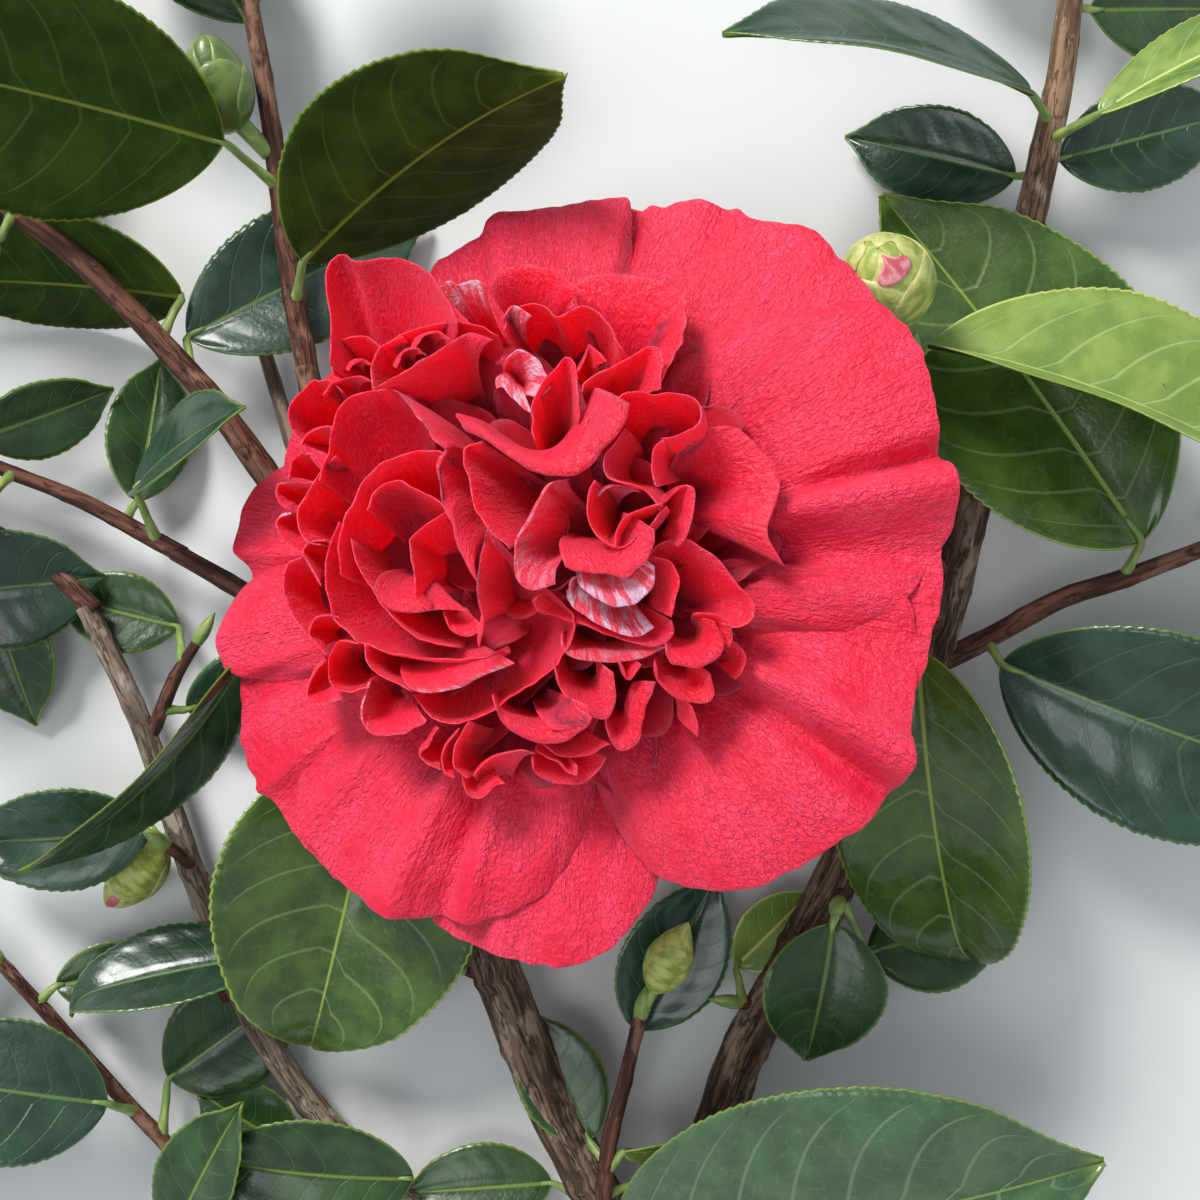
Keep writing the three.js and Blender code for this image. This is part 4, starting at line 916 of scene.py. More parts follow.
CENTRE = {
    "upright": [
        petal_at((395, 400), 9, [(327, 365), (329, 320), (327, 290), (330, 264), (340, 253), (355, 262),
            (383, 257), (417, 263), (436, 279), (447, 300), (458, 325)], style=0.3, tone=0.5),
    ],
    "top": [
        petal_at((545, 345), 3, [(489, 292), (491, 282), (504, 270), (529, 265), (555, 271), (571, 284),
            (583, 292)], style=-0.5, depth=14, tone=0.4),
        petal_at((622, 385), 2, [(574, 284), (591, 275), (616, 274), (644, 278), (670, 284), (684, 295),
            (687, 310), (684, 322)], style=-0.4, depth=12, tone=1),
        petal_at((630, 380), 3, [(686, 303), (685, 337), (675, 357), (664, 374), (658, 392)], tone=0.3),
        petal_at((560, 390), 5, [(500, 330), (507, 310), (524, 303), (541, 303), (557, 316), (571, 310),
            (585, 306), (599, 315), (608, 329), (613, 343), (622, 351)], style=0.8),
        petal_at((515, 365), 5, [(438, 286), (446, 280), (456, 284), (463, 281), (472, 280), (483, 283)],
            tone=0.6, white=streaked(0.9)),
        petal_at((535, 370), 6, [(503, 318), (511, 307), (523, 308), (533, 316)], white=streaked(0.6)),
        petal_at((518, 400), 5, [(510, 356), (520, 350), (535, 358), (545, 372), (549, 386), (540, 398)],
            tone=1, white=streaked(0.9)),
        petal_at((530, 380), 6, [(496, 388), (504, 388), (512, 398), (523, 410), (533, 416)], tone=1,
            white=streaked(1.6)),
        petal_at((556, 470), 7, [(534, 438), (534, 410), (543, 385), (557, 368), (566, 357), (576, 365),
            (580, 390), (582, 421)], style=0.1),
        petal_at((595, 400), 4, [(578, 372), (583, 358), (590, 343), (600, 351), (608, 362)]),
        petal_at((615, 425), 6, [(583, 392), (584, 382), (597, 371), (622, 357), (647, 346), (658, 348),
            (661, 362), (659, 388)], tone=0.3),
    ],
    "upper_left_rose": [
        petal_at((445, 375), 4, [(386, 345), (403, 333), (428, 323), (456, 320), (482, 326), (496, 337)],
            style=0.8, tone=0.6),
        petal_at((430, 375), 5, [(374, 392), (372, 380), (372, 365), (381, 348), (392, 341), (402, 337)],
            style=0.5, tone=0.5),
        petal_at((478, 410), 8, [(372, 389), (400, 374), (428, 357), (456, 339), (473, 333), (493, 340)],
            style=-0.5),
        petal_at((435, 362), 4, [(412, 352), (422, 338), (440, 332), (452, 340)], tone=0.8),
        petal_at((420, 374), 4, [(398, 370), (405, 357), (416, 351), (426, 356)], tone=0.5),
        petal_at((375, 385), 4, [(334, 374), (334, 354), (340, 345), (352, 340), (364, 339), (378, 345),
            (384, 352)], style=0.3, tone=0.6),
        petal_at((370, 385), 5, [(350, 372), (355, 363), (364, 360), (374, 366)], tone=0.6),
        petal_at((360, 410), 4, [(322, 394), (334, 382), (350, 377), (365, 377), (373, 382)], tone=0.4),
    ],
    "left_edge": [
        petal_at((345, 430), 3, [(305, 443), (292, 430), (288, 416), (291, 402), (302, 388), (316, 378),
            (334, 380), (343, 392)], style=0.7),
        petal_at((340, 455), 4, [(300, 446), (313, 432), (330, 427), (337, 430)], tone=0.4),
        petal_at((325, 480), 3, [(288, 482), (288, 470), (290, 460), (302, 452), (314, 453)], tone=0.4),
        petal_at((322, 505), 3, [(292, 511), (280, 505), (274, 494), (277, 483), (294, 481), (315, 482)],
            tone=0.3),
        petal_at((325, 525), 3, [(304, 551), (291, 547), (278, 533), (275, 522), (280, 513), (291, 511)],
            style=-0.2, white=(1.8, 0.62, 1, 0.25)),
        petal_at((345, 565), 5, [(322, 586), (309, 564), (303, 552), (306, 545), (316, 540), (331, 539)],
            tone=0.4),
        petal_at((340, 585), 3, [(307, 633), (298, 622), (291, 609), (284, 584), (288, 564), (302, 556)],
            style=0.5),
        petal_at((352, 635), 5, [(326, 656), (316, 645), (309, 633), (316, 620), (330, 615), (340, 618)],
            tone=0.4),
        petal_at((350, 665), 3, [(346, 698), (325, 706), (311, 704), (306, 697), (313, 676), (326, 660)],
            tone=0.5),
        petal_at((374, 652), 6, [(369, 690), (344, 693), (331, 684), (328, 668), (329, 654), (341, 640),
            (358, 641)], style=0.3),
    ],
    "rose": [
        petal_at((425, 560), 6, [(318, 480), (328, 452), (333, 425), (340, 408), (355, 396), (378, 391),
            (397, 395), (412, 406)], style=0.9),
        petal_at((360, 520), 5, [(336, 456), (322, 472), (309, 492), (299, 508), (298, 525), (306, 538),
            (322, 543)], style=0.6, tone=0.2),
        petal_at((415, 570), 7, [(340, 575), (337, 545), (342, 522), (352, 503), (364, 483), (383, 466),
            (411, 456), (437, 452), (446, 458)], style=0.95),
        petal_at((425, 560), 5, [(366, 510), (376, 490), (395, 482), (417, 489), (442, 500), (452, 512)],
            style=0.8),
        petal_at((474, 570), 6, [(446, 515), (428, 524), (412, 534), (406, 541), (408, 556), (412, 580),
            (416, 600), (430, 611)], style=-0.1),
        petal_at((430, 575), 4, [(375, 590), (382, 602), (392, 609), (405, 613), (417, 612), (445, 610),
            (470, 612)], style=-0.6, tone=0.5),
        petal_at((465, 605), 3, [(448, 617), (452, 628), (463, 635), (475, 633), (484, 626)], tone=0.6),
        petal_at((420, 565), 5, [(350, 540), (357, 565), (372, 592), (386, 612), (405, 630), (428, 640),
            (455, 645)], style=0.8),
        petal_at((430, 570), 5, [(340, 522), (333, 536), (326, 564), (327, 592), (333, 615), (353, 637),
            (386, 650), (428, 657), (482, 657), (500, 650)], style=0.9, tone=0.2),
        petal_at((500, 485), 8, [(397, 392), (420, 420), (434, 441), (447, 452), (438, 470), (441, 490),
            (444, 512), (452, 524), (462, 556), (478, 584)], style=-0.8, spread=0.5, depth=14, tone=1.0,
            white=(4.0, -0.95, -0.35, 0.9)),
        petal_at((535, 600), 10, [(480, 648), (484, 620), (478, 598), (480, 564), (486, 540), (489, 527)],
            style=-0.6, tone=0.4),
        petal_at((470, 620), 4, [(489, 527), (507, 547), (530, 575), (556, 600), (572, 620), (570, 636),
            (555, 665), (529, 688), (507, 700), (493, 710), (468, 721), (451, 724), (431, 718), (413, 694)],
            style=0.5),
        petal_at((450, 652), 6, [(409, 688), (425, 693), (440, 692), (458, 688), (475, 680), (495, 671),
            (515, 663)], style=-0.5, spread=0.6, tone=0.4, white=(4.0, -0.8, 1, 0.92)),
        petal_at((408, 686), 5, [(370, 682), (363, 702), (361, 718), (367, 730), (381, 736), (406, 733),
            (428, 721)], style=-0.3, depth=14, tone=0.8, white=(0.5, -1, -0.2, 0.4)),
        petal_at((420, 655), 6, [(364, 645), (366, 662), (378, 675), (395, 682), (411, 690)], style=0.5,
            tone=0.4),
    ],
    "right": [
        petal_at((565, 505), 9, [(482, 441), (465, 447), (462, 463), (468, 483), (476, 511), (490, 530),
            (510, 548)], style=0.2),
        petal_at((549, 440), 9, [(468, 432), (490, 440), (513, 457), (541, 473), (563, 477), (583, 472),
            (605, 449), (622, 427), (630, 404)], style=-0.8, depth=13, spread=0.8, tone=0.4),
        petal_at((645, 480), 8, [(583, 440), (585, 421), (600, 408), (614, 399), (636, 390), (653, 395),
            (681, 395), (696, 402), (700, 412), (697, 425), (689, 430), (675, 437), (660, 440)], style=0.9),
        petal_at((645, 470), 8, [(628, 430), (617, 440), (611, 449), (605, 461), (608, 475), (622, 480),
            (647, 486), (661, 500), (664, 508)], style=0.5, tone=0.3),
        petal_at((694, 470), 9, [(662, 439), (651, 447), (648, 462), (649, 477), (653, 489)], style=0.1,
            tone=0.3),
        petal_at((625, 500), 8, [(597, 480), (590, 500), (591, 520), (600, 535), (619, 546), (636, 536),
            (653, 519), (664, 505)], style=0.7),
        petal_at((615, 518), 5, [(600, 500), (608, 492), (622, 490), (640, 495)], tone=1,
            white=streaked(0.5)),
        petal_at((652, 532), 9, [(616, 546), (617, 530), (628, 515), (645, 508), (662, 503)], style=0.2,
            tone=0.5),
        petal_at((612, 536), 9, [(565, 565), (575, 571), (597, 573), (625, 577), (645, 562), (654, 545),
            (655, 530)], style=-0.7, spread=0.5, depth=12, tone=0.5),
        petal_at((620, 560), 7, [(578, 572), (580, 584), (590, 593), (604, 603), (618, 608), (634, 604),
            (647, 594), (656, 580), (654, 566)], style=-0.7, depth=12, spread=0.5, tone=1,
            white=(1.8, -1, 1, 0.1)),
        petal_at((618, 590), 4.5, [(568, 590), (572, 605), (585, 616), (602, 626), (622, 634), (640, 636),
            (655, 628)], style=-0.6, depth=13, spread=0.4, tone=1, white=(1.0, -1, 1, 0.1)),
        petal_at((608, 596), 3.5, [(533, 600), (540, 612), (560, 618), (590, 628), (611, 638), (632, 645),
            (653, 648), (668, 644), (676, 634), (674, 620)], style=-0.3, tone=0.6),
        petal_at((598, 535), 8, [(569, 480), (549, 486), (541, 502), (529, 525), (517, 542), (514, 567),
            (518, 581), (532, 591), (556, 583)], style=-0.5, depth=15, tone=1.0, white=streaked(0.3)),
        petal_at((645, 600), 5, [(655, 555), (672, 560), (679, 575), (679, 600), (672, 618)], tone=0.5),
        petal_at((662, 530), 5, [(664, 500), (672, 490), (684, 483), (694, 487), (695, 505), (690, 525),
            (676, 545)], tone=0.9),
        petal_at((668, 598), 4, [(648, 564), (655, 550), (667, 542), (688, 540), (708, 552), (725, 568),
            (741, 587), (753, 604), (752, 618), (742, 625), (731, 626)], style=-0.2, depth=14, tone=0.4),
        petal_at((682, 505), 3, [(693, 445), (699, 434), (714, 428), (733, 427), (748, 437), (762, 451),
            (775, 466), (779, 483), (778, 497), (772, 512), (767, 529), (775, 548), (786, 567)], style=-0.75,
            depth=11, tone=0.7),
    ],
    # These petals take little of the lighter colour (tone mostly 0.1): painted shade, where they lie away
    # from the light.
    "lower_right": [
        petal_at((704, 636), 4, [(700, 612), (714, 614), (727, 622), (731, 634), (729, 647)], style=-0.6,
            depth=12, tone=0.1),
        petal_at((718, 656), 2, [(722, 640), (735, 645), (744, 658), (742, 672), (734, 678)], style=-0.4,
            depth=12, tone=0.1),
        petal_at((694, 634), 5, [(665, 655), (671, 664), (688, 667), (704, 666), (719, 655), (722, 640),
            (712, 622)], style=-0.6, depth=12, tone=0.1),
        petal_at((685, 666), 4.5, [(657, 668), (659, 682), (670, 694), (690, 702), (706, 702), (713, 694),
            (710, 675)], style=-0.7, depth=12, tone=0.1),
        petal_at((675, 700), 4, [(683, 698), (692, 705), (698, 720), (697, 736)], tone=0.3),
        petal_at((628, 702), 4, [(606, 715), (607, 733), (619, 752), (631, 749), (641, 737), (642, 722),
            (650, 700), (657, 682)], style=-0.6, depth=12, tone=0.1),
        petal_at((592, 668), 4.5, [(556, 668), (562, 688), (573, 703), (590, 717), (606, 718), (614, 712),
            (616, 695), (614, 672)], style=-0.6, depth=12, spread=0.4, tone=0.1),
        petal_at((615, 638), 3.5, [(558, 640), (562, 652), (585, 660), (613, 663), (640, 658), (660, 650),
            (672, 645)], style=-0.5, spread=0.5, depth=12, tone=0.1, white=streaked(0.3)),
        petal_at((630, 650), 4, [(621, 662), (630, 680), (640, 664)], tone=0.5),
    ],
    "bottom": [
        petal_at((545, 708), 7, [(498, 712), (507, 727), (527, 739), (549, 744), (570, 739), (585, 728),
            (591, 716)], style=-0.8, spread=0.7, depth=12, tone=0.5),
        petal_at((540, 690), 7, [(552, 731), (572, 730), (587, 720), (590, 706)], tone=0.4),
        petal_at((505, 735), 6, [(470, 722), (462, 735), (454, 752), (454, 768), (467, 778)], style=0.3),
        petal_at((482, 750), 5, [(460, 728), (445, 745), (441, 765), (445, 775), (455, 779)], tone=0.5),
        petal_at((462, 742), 4, [(440, 728), (430, 745), (422, 755), (430, 765), (442, 770)], tone=0.9),
        petal_at((498, 762), 5, [(464, 780), (470, 795), (478, 798), (490, 790), (505, 783)], tone=0.2),
        petal_at((508, 792), 5, [(477, 777), (486, 765), (500, 757), (520, 752), (535, 754)], style=-0.3,
            tone=0.6),
        petal_at((570, 742), 4, [(535, 757), (538, 770), (548, 778), (560, 782), (578, 781), (595, 773),
            (604, 757)], tone=0.7),
        petal_at((565, 742), 5, [(538, 750), (550, 757), (562, 764), (570, 774), (577, 776), (580, 766)],
            tone=0.7),
        petal_at((575, 728), 5, [(543, 746), (555, 755), (575, 757), (595, 752), (610, 744)], tone=0.7),
    ],
}


def add_rim_petal(mesh, petal, seed):
    """A petal of the centre, bent from a cup to an arch by its style."""
    rim = Curve([seen_at(px, py, dome_height(px, py) + petal["lift"]) for px, py in petal["rim"]])
    edge = rim(np.linspace(0, 1, CENTRE_COLUMNS))
    px, py = petal["root"]
    root = seen_at(px, py, dome_height(px, py) - petal.get("depth", ROOT_DEPTH))
    start = root + (edge - edge.mean(axis=0)) * [1, 1, 0] * petal.get("spread", FOOT_SPREAD)
    lean = 0.5 * (1 + petal.get("style", ARCH))
    hang = (0.08 + 0.55 * lean, 0.62 - 0.50 * lean, 0.50 + 0.55 * lean, 1.16 - 0.62 * lean)
    add_hung_petal(mesh, edge, start, hang, petal, CENTRE_ROWS, seed, CENTRE_RUFFLE, CENTRE_CRINKLE)


FILLER = dict(count=46, middle=(-4, 4), reach=27.0, foot=-19.0, rise=15.0)


def filler_petals(mesh):
    """Small petals deep in the centre, set by the golden angle, that close the gaps between the others."""
    for index in range(FILLER["count"]):
        share = math.sqrt((index + 0.5) / FILLER["count"])
        turn = math.radians(GOLDEN_ANGLE * index)
        x = FILLER["middle"][0] + FILLER["reach"] * share * math.cos(turn)
        y = FILLER["middle"][1] + FILLER["reach"] * share * math.sin(turn)
        z = FILLER["foot"] + FILLER["rise"] * math.sqrt(1 - 0.6 * share ** 2)
        shape = dict(length=15 + index % 3, width=13, start=86 - 34 * share, turn=-20 - 40 * share, cup=40,
                     round=0.24, outline=petal_outline)
        add_petal(mesh, [x, y, z], GOLDEN_ANGLE * index, shape, FILLER_SEED + index)


def centre_petals(mesh, groups):
    for group in groups:
        for index, petal in enumerate(CENTRE[group]):
            add_rim_petal(mesh, petal, CENTRE_SEED + 5 * index + 100 * len(group))


CALYX = dict(count=9, reach=1.2, foot=-BLOOM_DEPTH - 6.2, step=0.25)


def calyx(mesh):
    """Green scales that hold the foot of the bloom."""
    for index in range(CALYX["count"]):
        angle = GOLDEN_ANGLE * index
        shape = dict(length=13 - 0.4 * index, width=11, start=20, turn=48, cup=40, round=0.3,
                     outline=petal_outline)
        turn = math.radians(angle)
        out = CALYX["reach"] * np.array([math.cos(turn), math.sin(turn), 0])
        at = out + [0, 0, CALYX["foot"] + CALYX["step"] * index]
        u, v = grid(16, 13)
        points = from_bloom(blade(shape, u, v) @ petal_axes(angle) + at)
        uv = np.stack([u * 5, v * 13], axis=-1) / 100 + index
        edge = np.maximum(smoothstep(np.abs(u), 0.8, 1), smoothstep(v, 0.88, 1))
        sheet(mesh, points, CALYX_THICKNESS, uv, slots=(1, 1), edge=edge)


def make_bloom_stalk():
    mesh = Mesh()
    in_cup = from_bloom(np.array([0, 0, -BLOOM_DEPTH - 3.6]))
    stalk = BLOOM_STALK
    bark = bark_relief(stalk["seed"], stalk["relief"], stalk["scars"])
    tube(mesh, Curve([*stalk["path"], in_cup]), stalk["radii"], sides=20, spacing=0.7, relief=bark)
    calyx(mesh)
    skins = [materials["petiole"], materials["bud_scale"]]
    mesh.piece("bloom_stalk_and_scales", skins, "green_stalk", ["bloom_stalk"])


def make_bloom():
    upper = ["top_left", "top", "right", "right_under", "upper_left"]
    for side, names in (("upper", upper), ("lower", [name for name in GUARDS if name not in upper])):
        outer = Mesh()
        guard_petals(outer, names)
        outer.piece("bloom_%s_petals" % side, [materials["petal"]], "petal", ["bloom"])
    left = Mesh()
    centre_petals(left, ["upright", "upper_left_rose", "left_edge", "rose"])
    left.piece("bloom_left_petals", [materials["petal_deep"]], "petal", ["bloom"])
    right = Mesh()
    filler_petals(right)
    centre_petals(right, ["top", "right", "lower_right", "bottom"])
    right.piece("bloom_right_petals", [materials["petal_deep"]], "petal", ["bloom"])


# Materials. Each is built round one Principled shader; painted values come from the meshes above.
class Shader:
    def __init__(self, name, roughness, specular=0.5, coat=0.0, coat_roughness=0.2, sheen=0.0):
        self.material = bpy.data.materials.new(name)
        self.material.use_nodes = True
        self.nodes = self.material.node_tree.nodes
        self.link = self.material.node_tree.links.new
        self.bsdf = self.nodes["Principled BSDF"]
        self.bsdf.inputs["Roughness"].default_value = roughness
        self.bsdf.inputs["Specular IOR Level"].default_value = specular
        self.bsdf.inputs["Coat Weight"].default_value = coat
        self.bsdf.inputs["Coat Roughness"].default_value = coat_roughness
        self.bsdf.inputs["Sheen Weight"].default_value = sheen
        self.bsdf.inputs["Sheen Roughness"].default_value = 0.4
        uv = self.nodes.new("ShaderNodeUVMap")
        uv.uv_map = "surface"
        self.uv = uv.outputs["UV"]

    def put(self, socket, value):
        if isinstance(value, bpy.types.NodeSocket):
            self.link(value, socket)
        elif isinstance(value, tuple):
            socket.default_value = (*value, 1.0)[:len(socket.default_value)]
        else:
            socket.default_value = value

    def paint(self, name):
        node = self.nodes.new("ShaderNodeAttribute")
        node.attribute_name = name
        return node.outputs["Fac"]

    def math(self, operation, first, second=0.0):
        node = self.nodes.new("ShaderNodeMath")
        node.operation = operation
        self.put(node.inputs[0], first)
        self.put(node.inputs[1], second)
        return node.outputs[0]

    def stretch(self, scale):
        node = self.nodes.new("ShaderNodeMapping")
        self.link(self.uv, node.inputs["Vector"])
        node.inputs["Scale"].default_value = scale
        return node.outputs["Vector"]

    def noise(self, scale, detail=3.0, roughness=0.55):
        """Noise with its own pitch along each surface coordinate."""
        node = self.nodes.new("ShaderNodeTexNoise")
        node.noise_dimensions = "2D"
        self.link(self.stretch((*scale, 1.0)), node.inputs["Vector"])
        node.inputs["Scale"].default_value = 1.0
        node.inputs["Detail"].default_value = detail
        node.inputs["Roughness"].default_value = roughness
        return node.outputs["Fac"]

    def cracks(self, scale, warp):
        """How near a place is to the walls between the cells of an uneven net: 0 on a wall."""
        node = self.nodes.new("ShaderNodeTexVoronoi")
        node.voronoi_dimensions = "2D"
        node.feature = "DISTANCE_TO_EDGE"
        place = self.stretch((*scale, 1.0))
        wobble = self.nodes.new("ShaderNodeTexNoise")
        wobble.noise_dimensions = "2D"
        self.link(place, wobble.inputs["Vector"])
        wobble.inputs["Scale"].default_value = 1.4
        wobble.inputs["Detail"].default_value = 1.0
        moved = self.nodes.new("ShaderNodeVectorMath")
        moved.operation = "MULTIPLY_ADD"
        self.link(wobble.outputs["Color"], moved.inputs[0])
        moved.inputs[1].default_value = (warp, warp, 0.0)
        self.link(place, moved.inputs[2])
        self.link(moved.outputs["Vector"], node.inputs["Vector"])
        node.inputs["Scale"].default_value = 1.0
        return node.outputs["Distance"]

    def span(self, value, low, high, first=0.0, last=1.0):
        node = self.nodes.new("ShaderNodeMapRange")
        node.interpolation_type = "SMOOTHSTEP"
        self.put(node.inputs["Value"], value)
        for name, number in (("From Min", low), ("From Max", high), ("To Min", first), ("To Max", last)):
            node.inputs[name].default_value = number
        return node.outputs["Result"]

    def mix(self, factor, first, second):
        node = self.nodes.new("ShaderNodeMix")
        node.data_type = "RGBA"
        self.put(node.inputs[0], factor)
        self.put(node.inputs[6], first)
        self.put(node.inputs[7], second)
        return node.outputs[2]

    def finish(self, colour, roughness=None, height=None, distance=0.0002):
        self.put(self.bsdf.inputs["Base Color"], colour)
        if roughness is not None:
            self.put(self.bsdf.inputs["Roughness"], roughness)
        if height is not None:
            bump = self.nodes.new("ShaderNodeBump")
            bump.inputs["Strength"].default_value = 1.0
            bump.inputs["Distance"].default_value = distance
            self.link(height, bump.inputs["Height"])
            self.link(bump.outputs["Normal"], self.bsdf.inputs["Normal"])
        return self.material


def leaf_material(name, dark, light, vein, margin, roughness, coat, net=0.08, specular=0.28):
    """Leathery leaf skin: a midrib, side veins, a net of fine veins between them, and a pale rim."""
    shader = Shader("leaf_" + name, roughness, specular=specular, coat=coat, coat_roughness=0.16)
    cloud = shader.noise((14, 14), 2)
    colour = shader.mix(shader.span(cloud, 0.32, 0.68), dark, light)
    colour = shader.mix(shader.math("MULTIPLY", shader.paint("tone"), 0.45), colour, light)
    threads = shader.span(shader.cracks((27, 27), 0.9), 0.0, 0.045, 1.0, 0.0)
    colour = shader.mix(shader.math("MULTIPLY", threads, net), colour, vein)
    run = shader.paint("run")
    near = shader.math("ABSOLUTE", shader.math("SUBTRACT", run, shader.math("ROUND", run)))
    side = shader.math("MULTIPLY", shader.span(near, 0.012, 0.06, 0.7, 0.0), shader.paint("vein"))
    midrib = shader.span(shader.math("ABSOLUTE", shader.paint("across")), 0.15, 0.62, 1.0, 0.0)
    colour = shader.mix(shader.math("MULTIPLY", side, 0.45 + net), colour, vein)
    colour = shader.mix(shader.math("MULTIPLY", midrib, 0.8), colour, margin)
    spots = shader.span(shader.noise((26, 26), 5, 0.7), 0.70, 0.74, 0.0, 0.7)
    colour = shader.mix(spots, colour, (0.05, 0.028, 0.010))
    rim = shader.span(shader.paint("inside"), 0.10, 0.55, 0.8, 0.0)
    colour = shader.mix(shader.math("MAXIMUM", rim, shader.span(shader.paint("mark"), 0.94, 1.0, 0.0, 0.7)),
                        colour, margin)
    grain = shader.math("MULTIPLY", shader.noise((110, 110), 1), 0.5)
    low = shader.math("MAXIMUM", midrib, side)
    gloss = shader.span(shader.noise((22, 22), 3), 0.3, 0.7, roughness - 0.07, roughness + 0.1)
    return shader.finish(colour, gloss, shader.math("SUBTRACT", grain, low), 0.00013)


def petal_material(name, deep, soft, rim, roughness, glow):
    """Satin petal skin with fine veins along it, that lets light through. Painted places are white. The rim
    colour along its edges is a painted highlight, and its darker net of creases is painted shade.
    """
    shader = Shader(name, roughness, specular=0.3, sheen=0.16)
    shader.bsdf.inputs["Sheen Tint"].default_value = (1.0, 0.45, 0.55, 1.0)
    shader.bsdf.inputs["Subsurface Weight"].default_value = glow
    shader.bsdf.inputs["Subsurface Radius"].default_value = (1.0, 0.12, 0.16)
    shader.bsdf.inputs["Subsurface Scale"].default_value = 0.004
    cloud = shader.noise((11, 9), 2)
    colour = shader.mix(shader.span(cloud, 0.3, 0.72), deep, soft)
    veins = shader.noise((170, 15), 2)
    dark_vein = shader.math("MULTIPLY", shader.span(veins, 0.40, 0.60, 1.0, 0.0), 0.34)
    colour = shader.mix(dark_vein, colour, deep)
    # A net of fine creases, also sunk into the relief below; the colour darkened along them is painted shade.
    crease = shader.span(shader.cracks((74, 46), 1.8), 0.0, 0.2, 1.0, 0.0)
    crease = shader.math("MULTIPLY", crease, shader.span(cloud, 0.38, 0.6))
    colour = shader.mix(shader.math("MULTIPLY", crease, 0.22), colour, deep)
    colour = shader.mix(shader.math("MULTIPLY", shader.paint("tone"), 0.5), colour, soft)
    # A paler rim colour along each petal's edge, stronger in patches: a painted highlight where light catches
    # the edge.
    thin = shader.span(shader.noise((30, 30), 2), 0.35, 0.65, 0.05, 0.34)
    colour = shader.mix(shader.math("MULTIPLY", shader.paint("edge"), thin), colour, rim)
    streaks = shader.span(shader.noise((62, 9), 2, 0.7), 0.42, 0.62, 0.1, 1.0)
    white = shader.math("MINIMUM", shader.math("MULTIPLY", shader.paint("vein"), streaks), 1.0)
    colour = shader.mix(white, colour, (0.72, 0.36, 0.46))
    crumple = shader.noise((100, 75), 2, 0.6)
    height = shader.math("ADD", shader.math("MULTIPLY", veins, 0.5), crumple)
    height = shader.math("SUBTRACT", height, shader.math("MULTIPLY", crease, 0.3))
    return shader.finish(colour, None, height, 0.0005)


def bark_material(name, dark, middle, pale, roughness, depth):
    """Bark in long fibres, with cracks that wander along it and pale flakes."""
    shader = Shader(name, roughness, specular=0.2)
    fibres = shader.noise((75, 7), 6, 0.65)
    colour = shader.mix(shader.span(fibres, 0.40, 0.60), dark, middle)
    flakes = shader.span(shader.noise((26, 12), 4), 0.50, 0.66, 0.0, 0.75)
    colour = shader.mix(flakes, colour, pale)
    wander = shader.noise((42, 4.5), 4, 0.6)
    crack = shader.span(shader.math("ABSOLUTE", shader.math("SUBTRACT", wander, 0.5)), 0.0, 0.022, 1.0, 0.0)
    colour = shader.mix(shader.math("MULTIPLY", crack, 0.75), colour, dark)
    height = shader.math("SUBTRACT", shader.math("ADD", fibres, flakes), crack)
    return shader.finish(colour, None, height, depth)


def plain_material(name, first, second, roughness, scale=(60, 20), coat=0.0, rim=None):
    """Soft green or woody skin: two tones in streaks, with an optional paler rim."""
    shader = Shader(name, roughness, specular=0.4, coat=coat)
    streaks = shader.noise(scale, 4)
    colour = shader.mix(shader.span(streaks, 0.35, 0.65), first, second)
    if rim is not None:
        colour = shader.mix(shader.math("MULTIPLY", shader.paint("edge"), 0.7), colour, rim)
    return shader.finish(colour, None, streaks, 0.00015)


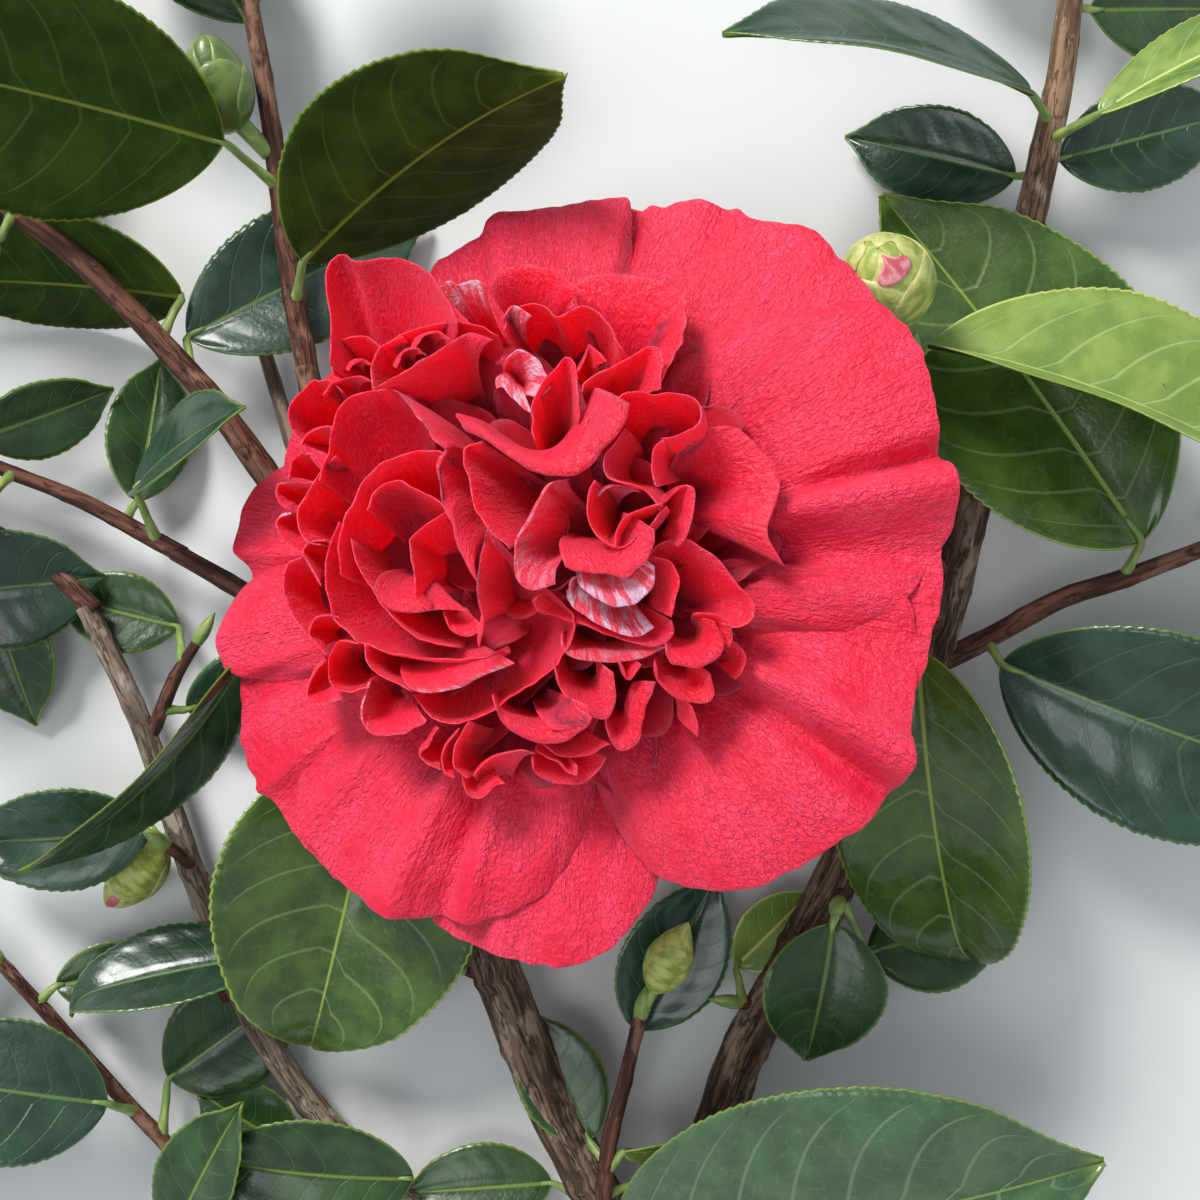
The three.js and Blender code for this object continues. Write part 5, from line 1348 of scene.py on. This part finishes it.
materials = {
    "leaf_dark": leaf_material("dark", (0.008, 0.028, 0.006), (0.024, 0.064, 0.016), (0.065, 0.125, 0.042),
                               (0.14, 0.21, 0.03), 0.36, 0.25),
    # The blue look is dark glossy green whose bluish tint is a painted reflection of the sky.
    "leaf_blue": leaf_material("blue", (0.008, 0.027, 0.012), (0.020, 0.052, 0.028), (0.050, 0.105, 0.055),
                               (0.10, 0.18, 0.05), 0.32, 0.4, 0.05),
    "leaf_light": leaf_material("light", (0.085, 0.160, 0.022), (0.180, 0.260, 0.050), (0.36, 0.46, 0.20),
                                (0.50, 0.56, 0.16), 0.38, 0.25),
    "leaf_netted": leaf_material("netted", (0.026, 0.062, 0.022), (0.058, 0.115, 0.048), (0.17, 0.25, 0.14),
                                 (0.16, 0.24, 0.05), 0.30, 0.4, 0.16),
    "leaf_olive": leaf_material("olive", (0.022, 0.054, 0.007), (0.052, 0.104, 0.014), (0.18, 0.26, 0.09),
                                (0.26, 0.34, 0.05), 0.30, 0.4, 0.14),
    "leaf_under": leaf_material("under", (0.014, 0.030, 0.002), (0.028, 0.052, 0.004), (0.070, 0.110, 0.018),
                                (0.16, 0.22, 0.03), 0.7, 0.0, 0.12, specular=0.12),
    # The third colour of each petal material is a painted highlight along the petal edges.
    "petal": petal_material("petal", (0.56, 0.006, 0.034), (0.76, 0.031, 0.084), (0.78, 0.10, 0.16),
                            0.5, 0.0),
    "petal_deep": petal_material("petal_deep", (0.80, 0.003, 0.022), (0.90, 0.020, 0.066), (0.92, 0.14, 0.20),
                                 0.45, 0.75),
    "brown_bark": bark_material("brown_bark", (0.045, 0.028, 0.018), (0.17, 0.105, 0.07), (0.33, 0.24, 0.18),
                                0.85, 0.0006),
    "grey_bark": bark_material("grey_bark", (0.09, 0.065, 0.045), (0.22, 0.165, 0.12), (0.36, 0.30, 0.24),
                               0.8, 0.0003),
    "twig": bark_material("twig", (0.045, 0.018, 0.012), (0.13, 0.052, 0.032), (0.24, 0.13, 0.085),
                          0.65, 0.0002),
    "tan_bark": bark_material("tan_bark", (0.10, 0.055, 0.032), (0.27, 0.165, 0.10), (0.46, 0.33, 0.22),
                              0.65, 0.0003),
    "cut_wood": plain_material("cut_wood", (0.62, 0.50, 0.30), (0.74, 0.64, 0.42), 0.8),
    "petiole": plain_material("petiole", (0.14, 0.22, 0.05), (0.26, 0.34, 0.09), 0.45, coat=0.2),
    "bud_scale": plain_material("bud_scale", (0.20, 0.26, 0.035), (0.42, 0.44, 0.11), 0.5, (30, 60), 0.1,
                                rim=(0.52, 0.46, 0.20)),
    "bud_green": plain_material("bud_green", (0.055, 0.105, 0.016), (0.120, 0.180, 0.035), 0.4, (20, 30), 0.3,
                                rim=(0.18, 0.22, 0.06)),
    "bud_petal": plain_material("bud_petal", (0.42, 0.07, 0.10), (0.60, 0.24, 0.24), 0.5, (30, 40)),
}


def area_light(name, place, target, size, power, colour):
    light = bpy.data.lights.new(name, "AREA")
    light.shape = "DISK"
    light.size = size
    light.energy = power
    light.color = colour
    lamp = bpy.data.objects.new(name, light)
    lamp.location = place
    lamp.rotation_euler = (Vector(target) - Vector(place)).to_track_quat("-Z", "Y").to_euler()
    bpy.context.scene.collection.objects.link(lamp)


# Place and target in metres, size, power and colour of each light.
LIGHTS = dict(
    key=((-0.62, 0.95, 0.95), (0, 0, 0.03), 0.5, 27, (1.0, 0.98, 0.95)),
    fill=((-0.3, -0.3, 1.3), (0, 0, 0.03), 0.6, 4, (0.95, 0.97, 1.0)),
)
SKY_LOW = 0.95                               # strength of the sky near the horizon
SKY_TOP = 0.42                               # and overhead


def sky(tree):
    """Soft light from all round, dimmer overhead so that glossy leaves keep their depth."""
    place = tree.nodes.new("ShaderNodeTexCoord")
    parts = tree.nodes.new("ShaderNodeSeparateXYZ")
    fade = tree.nodes.new("ShaderNodeMapRange")
    tree.links.new(place.outputs["Generated"], parts.inputs["Vector"])
    tree.links.new(parts.outputs["Z"], fade.inputs["Value"])
    for name, number in (("From Min", 0.35), ("From Max", 1.0), ("To Min", SKY_LOW), ("To Max", SKY_TOP)):
        fade.inputs[name].default_value = number
    background = tree.nodes["Background"]
    tree.links.new(fade.outputs["Result"], background.inputs["Strength"])
    background.inputs["Color"].default_value = (0.86, 0.93, 1.0, 1)


def studio():
    """A pale floor, soft light from the upper left, and the photo's camera."""
    bpy.ops.mesh.primitive_plane_add(size=6, location=(0, 0, 0))
    floor = bpy.context.object
    floor.name = "floor"
    shader = Shader("floor", 0.9, specular=0.1)
    floor.data.uv_layers.active.name = "surface"
    floor.data.materials.append(shader.finish((0.62, 0.63, 0.62)))
    world = bpy.data.worlds.new("studio")
    world.use_nodes = True
    sky(world.node_tree)
    bpy.context.scene.world = world
    for name, settings in LIGHTS.items():
        area_light(name, *settings)
    camera = bpy.data.objects.new("camera", bpy.data.cameras.new("camera"))
    camera.location = (SHIFT + [0, 0, CAMERA_HEIGHT]) * MM
    camera.data.angle = 2 * math.atan(PHOTO_SIDE / 2 / PHOTO_FOCUS)
    camera.data.clip_start = 0.01
    bpy.context.scene.collection.objects.link(camera)
    bpy.context.scene.camera = camera
    bpy.context.scene.view_settings.view_transform = "Standard"


def main():
    for index, name in enumerate(LIMBS):
        make_limb(name, LIMB_SEED + index)
    make_bloom_stalk()
    make_bloom()
    for name in BUDS:
        make_bud(name)
    for index, name in enumerate(MASSES):
        make_mass(name, MASS_SEED + index)
    studio()


main()
